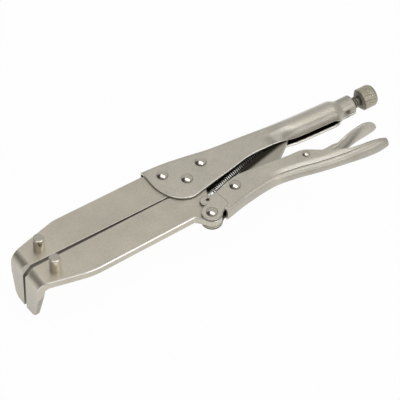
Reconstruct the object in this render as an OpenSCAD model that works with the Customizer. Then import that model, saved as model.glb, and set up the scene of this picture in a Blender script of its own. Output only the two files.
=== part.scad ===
// Long-reach locking pliers with turned-down jaw tips and two upright pegs, in millimetres.
// The jaw plates lie flat. +X runs toward the adjusting knob, +Y toward the back of the fixed handle
// and +Z toward the pegs. Every outline is drawn about the jaw pivot, then moved to the frame's origin,
// which is the middle of the footprint at the height of the lower ends of the jaw tips.

/* [Jaws] */
// Thickness of the jaw plates
jaw_t = 7.2; // [6:0.2:9]
// Width of each jaw plate
jaw_w = 28; // [22:0.2:32]
// Jaw pivot to the front face of the turned-down tips
jaw_reach = 150; // [140:0.2:165]
// Jaw pivot to the line where the closed jaws meet
slit_y = 6.2; // [5:0.1:7]
// Length of the narrowing nose of each jaw
nose_run = 43; // [30:1:60]
// Width of each jaw at the front of its nose
nose_w = 17.2; // [14:0.2:22]
// Top of the jaws to the lower end of their tips
tip_drop = 42.8; // [30:0.2:60]
// Width of a tip at its lower end
tip_w = 12.5; // [8:0.5:14]
// Thickness of a tip below its bend
tip_root_t = 5.6; // [5:0.1:6.5]
// Thickness of a tip at its lower end
tip_end_t = 3.6; // [3:0.1:4.5]
// Outer radius of the bend
bend_r = 8.5; // [8:0.5:10]
// Inner radius of the bend
crook_r = 4.5; // [3:0.5:6]
// Depth of the facet ground on the inner corner of each bend
facet = 4.6; // [4.2:0.2:5]
// Angle by which the moving jaw stands open at rest
rest_open = 1; // [0.4:0.1:1.2]
// Gap that the closed jaws leave beside the pivot
slit_gap = 0.5; // [0.3:0.1:0.7]

/* [Pegs] */
// Diameter of the pegs
peg_d = 8.8; // [6:0.2:12]
// Height of the pegs above the jaws
peg_h = 13; // [8:0.5:20]
// Jaw pivot to the pegs, along the jaws
peg_x = 129.4; // [110:0.2:135]
// Middle of a peg to the edge of its jaw
peg_in = 10; // [7:0.5:12]

/* [Fixed handle] */
// Thickness of the folded sheet of both handles
sheet_t = 1.9; // [1.5:0.1:2.3]
// Bend radius at the back of the flat channel
fold_r = 4; // [3:0.2:5]
// Jaw pivot to the front of the cheeks
cheek_front = 25.9; // [24:0.1:30]
// Jaw pivot to the bottom of the cheeks
cheek_drop = 17.6; // [16:0.1:19]
// Height of the back above the jaw pivot, at the front of the cheeks
back_front = 25.8; // [24:0.1:28]
// Jaw pivot to where the channel starts to round out
roll_x = 64; // [62:0.5:66]
// Length over which the channel turns into the tube
roll_run = 34; // [32:0.5:36]
// Outer radius of the rolled tube
tube_r = 10.8; // [9.8:0.1:11.4]
// Half of the outer width of the slot under the tube
slot_half = 3.5; // [2.9:0.1:3.6]
// Jaw pivot to the rear end of the tube
tube_end = 131; // [122:0.5:136]
// Outer radius of the collar
collar_r = 8.1; // [7:0.1:8.6]
// Length from the tube's end to the collar's end
collar_run = 19; // [16:0.5:24]
// Length of the neck before the collar
neck_run = 7; // [6.5:0.1:7.5]
// Distance of the screw's axis below the jaw pivot
screw_y = 2.15; // [1.5:0.05:3]

/* [Adjusting screw] */
// Diameter of the screw
screw_d = 9.2; // [8:0.1:10]
// Jaw pivot to the inner end of the screw
screw_tip = 94.3; // [93.5:0.1:100]
// Gap between the collar and the knob's shoulder at rest
screw_out = 6.8; // [4:0.1:10]
// Diameter of the knob
knob_d = 17.6; // [14:0.2:20]
// Length of the knob
knob_l = 14; // [10:0.5:18]
// Thickness of the knob's closed end
knob_cap = 3.5; // [3:0.1:4]
// Diameter of the spigot inside the knob
spigot_d = 6; // [4:0.2:7]

/* [Lower handle] */
// Handle rivet, behind and below the jaw pivot
handle_x = -2.2; // [-3:0.1:-1]
// Depth of the handle rivet below the jaw pivot
handle_y = 38.2; // [37:0.1:39.5]
// Radius of the ears about the handle rivet
ear_r = 8.3; // [7.5:0.1:9]
// Half width of the handle at its rear
grip_half = 6.2; // [5.8:0.1:7]
// Jaw pivot to the rear end of the handle
grip_end = 151.4; // [150:0.2:156]
// Depth of the handle's waist below the jaw pivot
waist_y = 37.3; // [36.5:0.1:38.5]
// Bend radius along the front part of its back
grip_fold = 2.6; // [2.4:0.1:3]
// Greatest depth of the handle's back below the jaw pivot
belly_y = 52.3; // [51.5:0.1:54]

/* [Toggle] */
// Toggle rivet, behind the jaw pivot
toggle_x = 27.1; // [26:0.1:28]
// Depth of the toggle rivet below the jaw pivot
toggle_y = 25.3; // [24.5:0.1:26]
// Middle of the link's nose, behind the jaw pivot
nose_x = 88; // [86:0.1:88.4]
// Radius of the link's nose
link_nose_r = 3.5; // [2.8:0.1:3.6]
// Radius of the link's hub
hub_r = 7; // [6:0.1:7.2]
// Thickness of the link beyond its hub
link_t = 4.4; // [3.5:0.1:4.6]

/* [Release lever] */
// Release rivet, behind the jaw pivot
release_x = 89.7; // [88:0.1:91]
// Depth of the release rivet below the jaw pivot
release_y = 28.9; // [28.4:0.1:29.6]
// Thickness of the lever's strip
lever_t = 1.8; // [1.4:0.1:2.2]
// Width of the lever's paddle
paddle_w = 16; // [13:0.5:18]
// Jaw pivot to the rear end of the paddle
paddle_end = 153; // [148:0.5:158]
// Jaw pivot to where the strip starts
lever_front = 66; // [65:0.5:68]
// Jaw pivot to where the strip starts to widen
flare_x = 110; // [107:0.5:112]
// Length of the paddle's round end
paddle_round = 13; // [11:0.5:14]

/* [Rivets] */
// Diameter of the large rivet heads
head_d = 9; // [8:0.1:10]
// Height of the large rivet heads
head_h = 2.1; // [1.6:0.1:3]
// Diameter of the large rivets
rivet_d = 6; // [5:0.1:6.6]
// Diameter of the release rivet's heads
small_head_d = 5.8; // [5:0.1:6.6]
// Diameter of the release rivet
small_rivet_d = 3.4; // [3:0.1:4]

/* [Spring] */
// Diameter of the spring wire
wire_d = 1.1; // [0.9:0.05:1.3]
// Outer diameter of the coil
coil_d = 5.6; // [5.2:0.1:6]
// Number of curls
curls = 30; // [24:1:32]

/* [Fits] */
// Radial clearance of rivets and the screw in their holes
run_gap = 0.05; // [0.02:0.01:0.1]
// Clearance beside each moving plate
side_gap = 0.2; // [0.1:0.05:0.4]
// Clearance around the moving jaw's eye
eye_gap = 0.4; // [0.3:0.05:0.8]

/* [Hidden] */
$fn = 72;

half_t = jaw_t / 2;
cheek_z = half_t + sheet_t;
tip_z = half_t - tip_drop;
collar_end = tube_end + collar_run;
knob_x = collar_end + screw_out;
knob_end = knob_x + knob_l;
eye_r = 10;
front_rivet = [-13.9, 13];
rear_rivet = [17.8, 8.4];
handle_pin = [handle_x, -handle_y];
toggle_pin = [toggle_x, -toggle_y];
release_pin = [release_x, -release_y];
nose_pin = [nose_x, -screw_y];
hook = [1.6, -26.2];
hook_r = wire_d / 2 + 0.6;
tab_hole = [71, -0.2];
rivet_hole = rivet_d / 2 + run_gap;
small_hole = small_rivet_d / 2 + run_gap;
origin = [(knob_end - jaw_reach) / 2, (back_front - belly_y) / 2, tip_z];

steel = [0.72, 0.70, 0.66];
bright = [0.82, 0.81, 0.78];
dark = [0.55, 0.54, 0.50];

// Smooth lines
function mix(a, b, t) = a + (b - a) * t;
function ease(t) = t <= 0 ? 0 : t >= 1 ? 1 : t * t * (3 - 2 * t);
function unit(v) = v / norm(v);
function rise(k, i) =
    let (a = max(i - 1, 0), b = min(i + 1, len(k) - 1))
    (k[b][1] - k[a][1]) / (k[b][0] - k[a][0]);
function span(k, x, i = 0) = i >= len(k) - 2 || x <= k[i + 1][0] ? i : span(k, x, i + 1);
// Height at x of the smooth line through the knots k
function height(k, x) =
    let (i = span(k, x), w = k[i + 1][0] - k[i][0], t = (x - k[i][0]) / w, u = 1 - t)
    k[i][1] * u * u * (1 + 2 * t) + k[i + 1][1] * t * t * (3 - 2 * t)
    + w * t * u * (rise(k, i) * u - rise(k, i + 1) * t);
function arc(c, r, a, b, n) = [for (i = [0:n]) c + r * [cos(mix(a, b, i / n)), sin(mix(a, b, i / n))]];

// Fixed handle: the back's line, the cheeks' lower edge and the change from channel to tube
back_line = [[-cheek_front, back_front], [-7.5, 24.4], [9, 21.8], [30, 17.8], [59, 14.7],
             [94, tube_r - 0.1], [tube_end, tube_r - screw_y]];
cheek_line = [[-3.9, -cheek_drop], [16.4, -14.4], [37.4, -10.3], [48.5, -7.6], [58.2, -6.4], [70, -6.8],
              [tube_end, -6.4]];
nose_c = [-3.9, 12.6];
function neck(x) = ease((x - tube_end) / 8);
function tube_at(x) = mix(tube_r, collar_r + 0.1, neck(x));
function back_at(x) = x < tube_end ? height(back_line, x) : tube_at(x) - screw_y;
function edge_at(x) =
    x < nose_c[0]
    ? let (u = (nose_c[0] - x) / (cheek_front + nose_c[0]))
      nose_c[1] - (nose_c[1] + cheek_drop) * sqrt(max(0, 1 - u * u))
    : height(cheek_line, x);
function slot_at(x) = mix(slot_half, 0.7, neck(x));
function roll_at(x) = ease((x - roll_x) / roll_run);

// Half of a channel's section, from the lower edge up to the middle of the back
function channel_half(w, top, low, r) =
    [for (i = [0:6]) [mix(low, top - r, i / 6), w],
     for (i = [1:6]) [top - r + r * sin(15 * i), w - r + r * cos(15 * i)],
     [top, (w - r) / 2],
     [top, 0]];
// Half of a slotted tube's section, in as many points
function tube_half(r, top, slot) =
    let (a = -acos(slot / r),
         turn = [for (i = [0:6]) mix(a, 10, i / 6), for (i = [1:6]) mix(10, 74, i / 6), 82, 90])
    [for (q = turn) [top - r + r * sin(q), r * cos(q)]];
// Both halves of a section at x, from one edge over the middle to the other
function whole(half, x, flip) =
    let (n = len(half))
    [for (p = half) [x, p[0], -flip * p[1]], for (i = [n - 2:-1:0]) [x, half[i][0], flip * half[i][1]]];
function handle_section(x, t) =
    let (top = back_at(x) - t, w = cheek_z - t, r = tube_at(x) - t, b = roll_at(x),
         flat = channel_half(w, top, edge_at(x), fold_r - t),
         round = tube_half(r, top, slot_at(x) * r / tube_at(x)))
    whole([for (i = [0:len(flat) - 1]) mix(flat[i], round[i], b)], x, 1);
nose_stops = [for (a = [0, 9, 20, 33, 47, 62, 77]) nose_c[0] - (cheek_front + nose_c[0]) * cos(a)];
handle_stops = concat(nose_stops, [for (i = [0:11]) mix(nose_c[0], 50, i / 11)],
                      [for (i = [1:9]) mix(50, 95, i / 9)], [108, 120, tube_end],
                      [for (i = [1:6]) tube_end + 8.5 * i / 6]);

// Lower handle: the cheeks' upper edge and the back
rim_line = [[8, -23.4], [13, -21.8], [22.5, -18.4], [35, -16.7], [53.6, -19.5], [78, -22.6], [90, -23.9],
            [100, -30.2], [113, -38.2], [122, -42.4], [142, -46], [grip_end, -47.8]];
grip_line = [[8, -44.6], [30.9, -39.6], [55, -waist_y], [75.5, -41], [91.4, -45], [108, -48.2],
             [125, -50.8], [140, -belly_y], [grip_end, 0.7 - belly_y]];
function grip_w(x) =
    let (u = max(0, (x - grip_end + 10) / 10))
    mix(cheek_z, grip_half, ease((x - 98) / 30)) * sqrt(1 - 0.62 * u * u);
// Half of a trough's section, from the upper edge down to the middle of the back
function trough_half(w, top, low, r, across) =
    [for (i = [0:4]) [mix(top, low + r, i / 4), w],
     for (i = [1:8]) [low + r - r * sin(11.25 * i), w - across + across * cos(11.25 * i)],
     [low, 0]];
function grip_section(x, t) =
    let (top = height(rim_line, x), low = height(grip_line, x), turn = ease((x - 40) / 45),
         r = min(mix(grip_fold, 5.5, turn), 0.8 * (top - low)),
         across = mix(grip_fold, 0.94 * grip_w(x), turn))
    whole(trough_half(grip_w(x) - t, top, low + t, r - t, across - t), x, -1);
grip_stops = concat([for (i = [0:17]) mix(8, 94, i / 17)], [for (i = [1:6]) mix(94, 122, i / 6)],
                    [for (i = [1:4]) mix(122, grip_end - 10, i / 4)],
                    [for (a = [25, 45, 62, 77, 90]) grip_end - 10 + 10 * sin(a)]);

// A folded sheet between matching outer and inner sections
module sheet(outer, inner) {
    m = len(outer);
    n = len(outer[0]);
    function o(i, j) = i * n + j;
    function q(i, j) = (m + i) * n + j;
    sides = [for (i = [0:m - 2]) for (j = [0:n - 2]) each
             [[o(i, j), o(i + 1, j), o(i, j + 1)], [o(i + 1, j), o(i + 1, j + 1), o(i, j + 1)],
              [q(i, j), q(i, j + 1), q(i + 1, j)], [q(i + 1, j), q(i, j + 1), q(i + 1, j + 1)]]];
    rims = [for (i = [0:m - 2]) each
            [[o(i + 1, 0), o(i, 0), q(i, 0)], [o(i + 1, 0), q(i, 0), q(i + 1, 0)],
             [o(i, n - 1), o(i + 1, n - 1), q(i, n - 1)], [o(i + 1, n - 1), q(i + 1, n - 1), q(i, n - 1)]]];
    ends = [for (j = [0:n - 2]) each
            [[o(0, j), o(0, j + 1), q(0, j)], [o(0, j + 1), q(0, j + 1), q(0, j)],
             [o(m - 1, j + 1), o(m - 1, j), q(m - 1, j)], [o(m - 1, j + 1), q(m - 1, j), q(m - 1, j + 1)]]];
    polyhedron(points = [each for (s = concat(outer, inner)) s], faces = concat(sides, rims, ends));
}

module to_frame() {
    translate(-origin) children();
}

module hole(at, r) {
    translate([at[0], at[1], -30]) cylinder(h = 60, r = r);
}

// A two-headed rivet through both cheeks
module rivet(at, d, head, h) {
    ball = (head * head / 4 + h * h) / (2 * h);
    translate([at[0], at[1], 0])
    rotate_extrude() {
        translate([0, -cheek_z]) square([d / 2, 2 * cheek_z]);
        for (s = [-1, 1])
            intersection() {
                translate([0, s * (cheek_z + h - ball)]) circle(ball);
                translate([0, s > 0 ? cheek_z : -cheek_z - h]) square([head / 2, h]);
            }
    }
}

// Jaw seen from the side, with its bend and thinning tip
module jaw_side(th) {
    root = tip_root_t - jaw_reach;
    difference() {
        polygon([[-jaw_reach, tip_z], [tip_end_t - jaw_reach, tip_z], [root, -th / 2 - crook_r],
                 [root + crook_r, -th / 2 - crook_r], [root + crook_r, -th / 2], [40, -th / 2],
                 [40, th / 2], [-jaw_reach, th / 2]]);
        translate([root + crook_r, -th / 2 - crook_r]) circle(crook_r);
        difference() {
            translate([-jaw_reach - 1, th / 2 - bend_r]) square(bend_r + 1);
            translate([bend_r - jaw_reach, th / 2 - bend_r]) circle(bend_r);
        }
    }
}

// What is cut away beside a tip, seen from the front and measured outward from its inner edge
module tip_waste() {
    corner = 0.4 * tip_w;
    polygon(concat([[tip_w - corner, tip_z - 5]],
                   arc([tip_w - corner, tip_z + corner], corner, -90, -12, 8),
                   [[nose_w + 2.7, -half_t], [90, -half_t], [90, tip_z - 5]]));
}

// Nose outline from above, measured outward from its inner edge, with its corner rounded over a length k
function nose_plan(k) =
    let (a = [nose_run - jaw_reach, jaw_w], b = a - k * unit([nose_run, jaw_w - nose_w]), c = a + [k, 0])
    concat([[-jaw_reach, 0], [-jaw_reach, nose_w]],
           [for (i = [0:8]) let (t = i / 8) b * (1 - t) * (1 - t) + a * 2 * t * (1 - t) + c * t * t]);

// Where the inner edge of a jaw runs
function inner_edge(s) = s > 0 ? -slit_y : -slit_y - slit_gap;

// A jaw on the side given by s, from its outline, turned by a degrees about the pivot
module jaw(s, th, a) {
    difference() {
        intersection() {
            rotate(a) rotate([90, 0, 0]) linear_extrude(height = 160, center = true) jaw_side(th);
            linear_extrude(height = 200, center = true) children();
        }
        rotate(a) translate([-jaw_reach - 5, inner_edge(s), 0]) scale([1, s, 1]) rotate([90, 0, 90])
        linear_extrude(height = 30) tip_waste();
        // The inner corner of the bend, ground off
        rotate(a) translate([-jaw_reach, inner_edge(s), th / 2]) rotate(a = 54.7356, v = [s, -1, 0])
        translate([-15, -15, s > 0 ? -facet : 0.6 - facet]) cube([30, 30, 20]);
    }
}

function turn(p, a) = [p[0] * cos(a) - p[1] * sin(a), p[0] * sin(a) + p[1] * cos(a)];
// Points measured outward from the inner edge of the jaw on the side given by s, turned by a degrees
function beside(s, pts, a = 0) = [for (p = pts) turn([p[0], s * p[1] + inner_edge(s)], a)];

module fixed_handle() {
    color(steel) to_frame()
    difference() {
        union() {
            sheet([for (x = handle_stops) handle_section(x, 0)],
                  [for (x = handle_stops) handle_section(x, sheet_t)]);
            translate([collar_end, -screw_y, 0]) rotate([0, -90, 0])
            rotate_extrude()
            polygon([[screw_d / 2 - 1, 0], [collar_r - 0.8, 0], [collar_r, 0.8],
                     [collar_r, collar_run - neck_run], [screw_d / 2 - 1, collar_run - neck_run]]);
            translate([tab_hole[0] - 3.5, tab_hole[1] - 3, -1]) cube([7.5, 15, 2]);
        }
        for (p = [[0, 0], front_rivet, rear_rivet]) hole(p, rivet_hole);
        translate([tab_hole[0], tab_hole[1], -1.5]) cylinder(h = 3, r = hook_r);
        translate([tube_end, -screw_y, 0]) rotate([0, 90, 0])
        cylinder(h = collar_run + 5, r = screw_d / 2 + run_gap);
        translate([tube_end + 6, -screw_y - 20, -0.5]) cube([collar_run, 20, 1]);
    }
}

module fixed_jaw() {
    inner = [for (x = [-24.5, -7.5, 9, 20, 28]) [x, height(back_line, x) - fold_r - 0.3]];
    color(steel) to_frame()
    difference() {
        jaw(1, jaw_t, 0) {
            polygon(beside(1, concat(nose_plan(4), [[-cheek_front - 0.6, jaw_w],
                                                    [-cheek_front - 0.6, 0]])));
            polygon(concat([[-40, -slit_y], [-40, 15], [-cheek_front - 0.6, inner[0][1] - 0.2]], inner,
                           [[28, 2.5], [0, 0], [0, -slit_y]]));
        }
        hole([0, 0], eye_r + eye_gap);
        for (p = [front_rivet, rear_rivet]) hole(p, rivet_hole);
        hole([-peg_x, peg_in - slit_y], peg_d / 3 + run_gap);
    }
}

module peg(th) {
    rotate_extrude()
    polygon([[0, -th / 2], [peg_d / 3, -th / 2], [peg_d / 3, th / 2], [peg_d / 2, th / 2],
             [peg_d / 2, th / 2 + peg_h - 0.8], [peg_d / 2 - 0.8, th / 2 + peg_h], [0, th / 2 + peg_h]]);
}

module fixed_jaw_peg() {
    color(bright) to_frame() translate([-peg_x, peg_in - slit_y, 0]) peg(jaw_t);
}

module front_jaw_rivet() {
    color(bright) to_frame() rivet(front_rivet, rivet_d, head_d, head_h);
}

module rear_jaw_rivet() {
    color(bright) to_frame() rivet(rear_rivet, rivet_d, head_d, head_h);
}

module jaw_pivot_rivet() {
    color(bright) to_frame() rivet([0, 0], rivet_d, head_d, head_h);
}

moving_t = jaw_t - 2 * side_gap;

module moving_jaw() {
    outline = concat(beside(-1, nose_plan(8), rest_open), [[-15.3, -34.3]],
                     arc(handle_pin, ear_r - 0.5, 195, 360, 20), [[5, -28], [6, -20], [8.3, -14]],
                     arc([0, 0], eye_r, -17, 180 + asin((slit_y + slit_gap + 0.14) / eye_r), 30));
    color(steel) to_frame()
    difference() {
        jaw(-1, moving_t, rest_open) polygon(outline);
        hole([0, 0], rivet_hole);
        hole(handle_pin, rivet_hole);
        hole(turn([-peg_x, inner_edge(-1) - peg_in], rest_open), peg_d / 3 + run_gap);
    }
}

module moving_jaw_peg() {
    color(bright) to_frame() rotate(rest_open)
    translate([-peg_x, inner_edge(-1) - peg_in, 0]) peg(moving_t);
}

module lower_handle() {
    color(steel) to_frame()
    difference() {
        union() {
            sheet([for (x = grip_stops) grip_section(x, 0)],
                  [for (x = grip_stops) grip_section(x, sheet_t)]);
            for (z = [half_t, -cheek_z])
                translate([0, 0, z])
                linear_extrude(height = sheet_t) {
                    translate(handle_pin) circle(ear_r);
                    translate(hook - [1.8, -0.2]) circle(4.6);
                    polygon([hook + [-4.6, -5.4], hook + [2.4, 2.2], [8.6, -23.8], [8.6, -40.8],
                             handle_pin + [7.1, -4.3], handle_pin]);
                }
        }
        hole(handle_pin, rivet_hole);
        hole(toggle_pin, rivet_hole);
        hole(release_pin, small_hole);
        translate([hook[0], hook[1], 0]) cylinder(h = 30, r = hook_r);
    }
}

module handle_rivet() {
    color(bright) to_frame() rivet(handle_pin, rivet_d, head_d, head_h);
}

module toggle_rivet() {
    color(bright) to_frame() rivet(toggle_pin, rivet_d, head_d, head_h);
}

module release_rivet() {
    color(bright) to_frame() rivet(release_pin, small_rivet_d, small_head_d, 1.5);
}

module toggle_link() {
    low = [for (i = [0:10]) let (t = i / 10, u = 1 - t)
           (nose_pin + [2.2, -2.7]) * u * u + [81, -13] * 2 * t * u + [64.5, -24.4] * t * t];
    color(dark) to_frame()
    difference() {
        union() {
            translate([toggle_x, -toggle_y, 0]) cylinder(h = moving_t, r = hub_r, center = true);
            linear_extrude(height = link_t, center = true) {
                translate(nose_pin) circle(link_nose_r);
                polygon(concat([toggle_pin, toggle_pin + [-2, 5.5], [40, -13.8], [62, -7.2], [76, -4.6],
                                nose_pin + [-1.2, 3.2]],
                               low, [[48, -28.5], toggle_pin + [2, -6]]));
            }
        }
        hole(toggle_pin, rivet_hole);
    }
}

lever_line = [[lever_front, -29.6], [80, -32.2], [92, -33.4], [104, -33], [114, -33.4], [123, -32.6],
              [132, -30.8], [141, -29.6], [148, -29.9], [paddle_end, -31.3]];
lever_half = half_t - side_gap;
function paddle_half(x) =
    let (u = max(0, (x - paddle_end) / paddle_round + 1))
    mix(lever_half, paddle_w / 2, ease((x - flare_x) / 15)) * sqrt(1 - 0.97 * u * u);

module release_lever() {
    root = paddle_end - paddle_round;
    stops = concat([for (i = [0:24]) mix(lever_front, root, i / 24)],
                   [for (a = [15:15:90]) root + paddle_round * sin(a)]);
    line = [for (x = stops) [x, height(lever_line, x)]];
    color(steel) to_frame()
    difference() {
        union() {
            intersection() {
                linear_extrude(height = paddle_w + 2, center = true)
                polygon(concat([for (p = line) p + [0, lever_t / 2]],
                               [for (i = [len(line) - 1:-1:0]) line[i] - [0, lever_t / 2]]));
                rotate([90, 0, 0]) linear_extrude(height = 200, center = true)
                polygon(concat([for (x = stops) [x, paddle_half(x)]],
                               [for (i = [len(stops) - 1:-1:0]) [stops[i], -paddle_half(stops[i])]]));
            }
            for (z = [lever_half - lever_t, -lever_half])
                translate([0, 0, z]) linear_extrude(height = lever_t) {
                    translate(release_pin) circle(4.4);
                    polygon([[78, -32], release_pin + [-3.6, 2.5], release_pin + [1, 4.2], [96, -28],
                             [103, -30.6], [113, -30.2], [121, -32.6], [114, -33.4], [104, -33],
                             [92, -33.4]]);
                }
        }
        hole(release_pin, small_hole);
    }
}

// Spring: a hook over the ear, the curls and a hook through the tab, as one line of points
coil_a = [12.5, -18.6, 0.4];
coil_b = [66, -2, 0.4];
along = unit(coil_b - coil_a);
aside = [-along[1], along[0], 0];
coil_r = (coil_d - wire_d) / 2;
over_z = cheek_z + 0.3 + wire_d / 2;
curl_points = [for (i = [0:8 * curls]) let (q = 45 * i)
               mix(coil_a, coil_b, i / (8 * curls)) + coil_r * (cos(q) * [0, 0, 1] + sin(q) * aside)];
hook_points = [[hook[0], hook[1], half_t + wire_d], [hook[0], hook[1], cheek_z - 0.1],
               [hook[0] + 0.3, hook[1] + 0.13, over_z - 0.4], [hook[0] + 1, hook[1] + 0.43, over_z],
               [5.6, -23.6, over_z], [7.4, -22, over_z - 0.3], [9.2, -20.6, over_z - 1.6],
               [11, -19.4, 3.5]];
tail_points = [for (p = [[-3.2, -1, coil_r + 0.3], [-1.6, -0.4, 2.1], [-0.4, -0.1, 1.75], [0, 0, 1.1],
                         [0, 0, 0.3], [0, 0, -wire_d]]) [tab_hole[0] + p[0], tab_hole[1] + p[1], p[2]]];
spring_points = concat(hook_points, curl_points, tail_points);
spring_n = len(spring_points);
tangents = [for (i = [0:spring_n - 1])
            unit(spring_points[min(i + 1, spring_n - 1)] - spring_points[max(i - 1, 0)])];
function swing(n, t) = unit(n - t * (n * t));
normals = [for (i = 0, n = [0, 1, 0]; i < spring_n;
                i = i + 1, n = i < spring_n ? swing(n, tangents[i]) : n) n];
spring_gap = min([for (i = [0:spring_n - 7]) for (j = [i + 6:spring_n - 1])
                  norm(spring_points[i] - spring_points[j])]) - wire_d;
echo(spring_gap_to_itself = spring_gap);

module return_spring() {
    rings = [for (i = [0:spring_n - 1]) let (n = normals[i], b = cross(tangents[i], n)) for (k = [0:5])
             spring_points[i] + wire_d / 2 * (cos(60 * k) * n + sin(60 * k) * b)];
    walls = [for (i = [0:spring_n - 2]) for (k = [0:5]) let (a = 6 * i + k, b = 6 * i + (k + 1) % 6) each
             [[a, a + 6, b], [b, a + 6, b + 6]]];
    last = 6 * (spring_n - 1);
    ends = [for (k = [1:4]) each [[0, k, k + 1], [last, last + k + 1, last + k]]];
    color(dark) to_frame() polyhedron(points = rings, faces = concat(walls, ends));
}

module adjusting_screw() {
    r = screw_d / 2;
    color(dark) to_frame() translate([0, -screw_y, 0]) rotate([0, 90, 0])
    rotate_extrude()
    polygon([[0, screw_tip], [r - 1, screw_tip], [r, screw_tip + 1], [r, knob_x - 2.6],
             [r - 0.9, knob_x - 2.2], [r - 0.9, knob_x - 0.05], [spigot_d / 2, knob_x - 0.05],
             [spigot_d / 2, knob_end - knob_cap - 0.5], [0, knob_end - knob_cap - 0.5]]);
}

module adjusting_knob() {
    r = knob_d / 2;
    color(steel) to_frame() translate([knob_x, -screw_y, 0]) rotate([0, 90, 0])
    rotate_extrude()
    polygon([[spigot_d / 2 + run_gap, 0], [r - 2, 0], [r, 2], [r, knob_l - 2.4], [r - 0.7, knob_l - 0.9],
             [r - 2.2, knob_l], [0, knob_l], [0, knob_l - knob_cap],
             [spigot_d / 2 + run_gap, knob_l - knob_cap]]);
}

fixed_handle();
fixed_jaw();
fixed_jaw_peg();
front_jaw_rivet();
rear_jaw_rivet();
jaw_pivot_rivet();
moving_jaw();
moving_jaw_peg();
lower_handle();
handle_rivet();
toggle_rivet();
release_rivet();
toggle_link();
release_lever();
return_spring();
adjusting_screw();
adjusting_knob();
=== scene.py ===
"""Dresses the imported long-reach locking pliers: meshes, finishes, studio light and camera."""
import logging
import math
from contextlib import contextmanager
from dataclasses import dataclass, field
from enum import Enum
from typing import Callable, Iterator, Sequence

import bmesh
import bpy
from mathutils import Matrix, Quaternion, Vector


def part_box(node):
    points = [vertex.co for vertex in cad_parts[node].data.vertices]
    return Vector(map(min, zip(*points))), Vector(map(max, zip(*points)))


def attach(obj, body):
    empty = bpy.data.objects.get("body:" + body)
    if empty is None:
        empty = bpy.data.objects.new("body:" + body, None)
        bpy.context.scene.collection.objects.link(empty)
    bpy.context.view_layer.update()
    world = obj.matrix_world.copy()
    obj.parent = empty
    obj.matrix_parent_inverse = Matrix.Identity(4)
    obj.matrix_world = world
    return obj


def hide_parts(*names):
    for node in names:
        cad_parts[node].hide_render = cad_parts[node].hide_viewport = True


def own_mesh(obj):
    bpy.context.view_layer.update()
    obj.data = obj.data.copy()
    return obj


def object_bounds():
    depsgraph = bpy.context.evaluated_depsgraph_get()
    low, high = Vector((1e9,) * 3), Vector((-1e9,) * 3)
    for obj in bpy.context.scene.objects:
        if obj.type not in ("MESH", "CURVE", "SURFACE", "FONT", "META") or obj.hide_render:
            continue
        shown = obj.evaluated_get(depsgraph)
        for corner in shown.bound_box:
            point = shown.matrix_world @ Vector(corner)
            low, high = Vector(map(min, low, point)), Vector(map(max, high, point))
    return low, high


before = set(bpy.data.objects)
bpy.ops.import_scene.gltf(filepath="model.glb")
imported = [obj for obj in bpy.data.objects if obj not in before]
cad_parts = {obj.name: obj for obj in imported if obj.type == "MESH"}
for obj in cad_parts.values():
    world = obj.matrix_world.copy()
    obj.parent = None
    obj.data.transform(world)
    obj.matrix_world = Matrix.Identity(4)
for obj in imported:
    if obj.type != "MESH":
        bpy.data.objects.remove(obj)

LOG = logging.getLogger("pliers")
MM = 0.001
ALONG = Vector((1, 0, 0))
UPWARD = Vector((0, 0, 1))
WHITE = (1.0, 1.0, 1.0, 1.0)
GREY = (0.5, 0.5, 0.5, 1.0)
CAD_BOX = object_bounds()
Points = list[Vector]
Spot = tuple[float, float]
Outline = Sequence[Spot]
EdgeTest = Callable[[bmesh.types.BMEdge], bool]


def jaw_pivot() -> Vector:
    """Returns the middle of the jaw pivot rivet, the point that every outline is drawn about."""
    low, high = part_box("jaw_pivot_rivet")
    return (low + high) / 2


PIVOT = jaw_pivot()


def place(x: float, y: float, z: float = 0.0) -> Vector:
    """Returns a point given in millimetres from the jaw pivot, in the frame."""
    return PIVOT + Vector((x, y, z)) * MM


def mix(a: float, b: float, t: float) -> float:
    """Returns the value a share t of the way from a to b."""
    return a + (b - a) * t


def ease(t: float) -> float:
    """Returns a smooth step from 0 to 1."""
    t = min(max(t, 0.0), 1.0)
    return t * t * (3 - 2 * t)


def steps(a: float, b: float, count: int) -> list[float]:
    """Returns count + 1 evenly spaced values from a to b."""
    return [mix(a, b, i / count) for i in range(count + 1)]


def sin(degrees: float) -> float:
    """Returns the sine of an angle in degrees."""
    return math.sin(math.radians(degrees))


def cos(degrees: float) -> float:
    """Returns the cosine of an angle in degrees."""
    return math.cos(math.radians(degrees))


def bell(t: float) -> float:
    """Returns a smooth hump, 1 at 0 and fading on both sides."""
    return math.exp(-(t ** 2))


def arc(x: float, y: float, r: float, start: float, end: float, count: int) -> list[Spot]:
    """Returns points on a circle, with angles in degrees.

    Args:
        x, y: the circle's middle.
        r: its radius.
        start, end: first and last angle.
        count: number of steps.

    Returns:
        count + 1 points from start to end.
    """
    return [(x + r * cos(a), y + r * sin(a)) for a in steps(start, end, count)]


def ring(at: Spot, r: float, count: int) -> list[Spot]:
    """Returns a closed circle's corners."""
    return arc(*at, r, 0, 360, count)[:-1]


@contextmanager
def editing(mesh: bpy.types.Mesh) -> Iterator[bmesh.types.BMesh]:
    """Lends a mesh for editing and takes it back.

    Args:
        mesh: the mesh to change.

    Returns:
        The editable mesh, for the length of a with block.
    """
    bm = bmesh.new()
    bm.from_mesh(mesh)
    yield bm
    bm.to_mesh(mesh)
    bm.free()


def no_edge(edge: bmesh.types.BMEdge) -> bool:
    """Tells that an edge isn't rubbed."""
    return False


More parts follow.
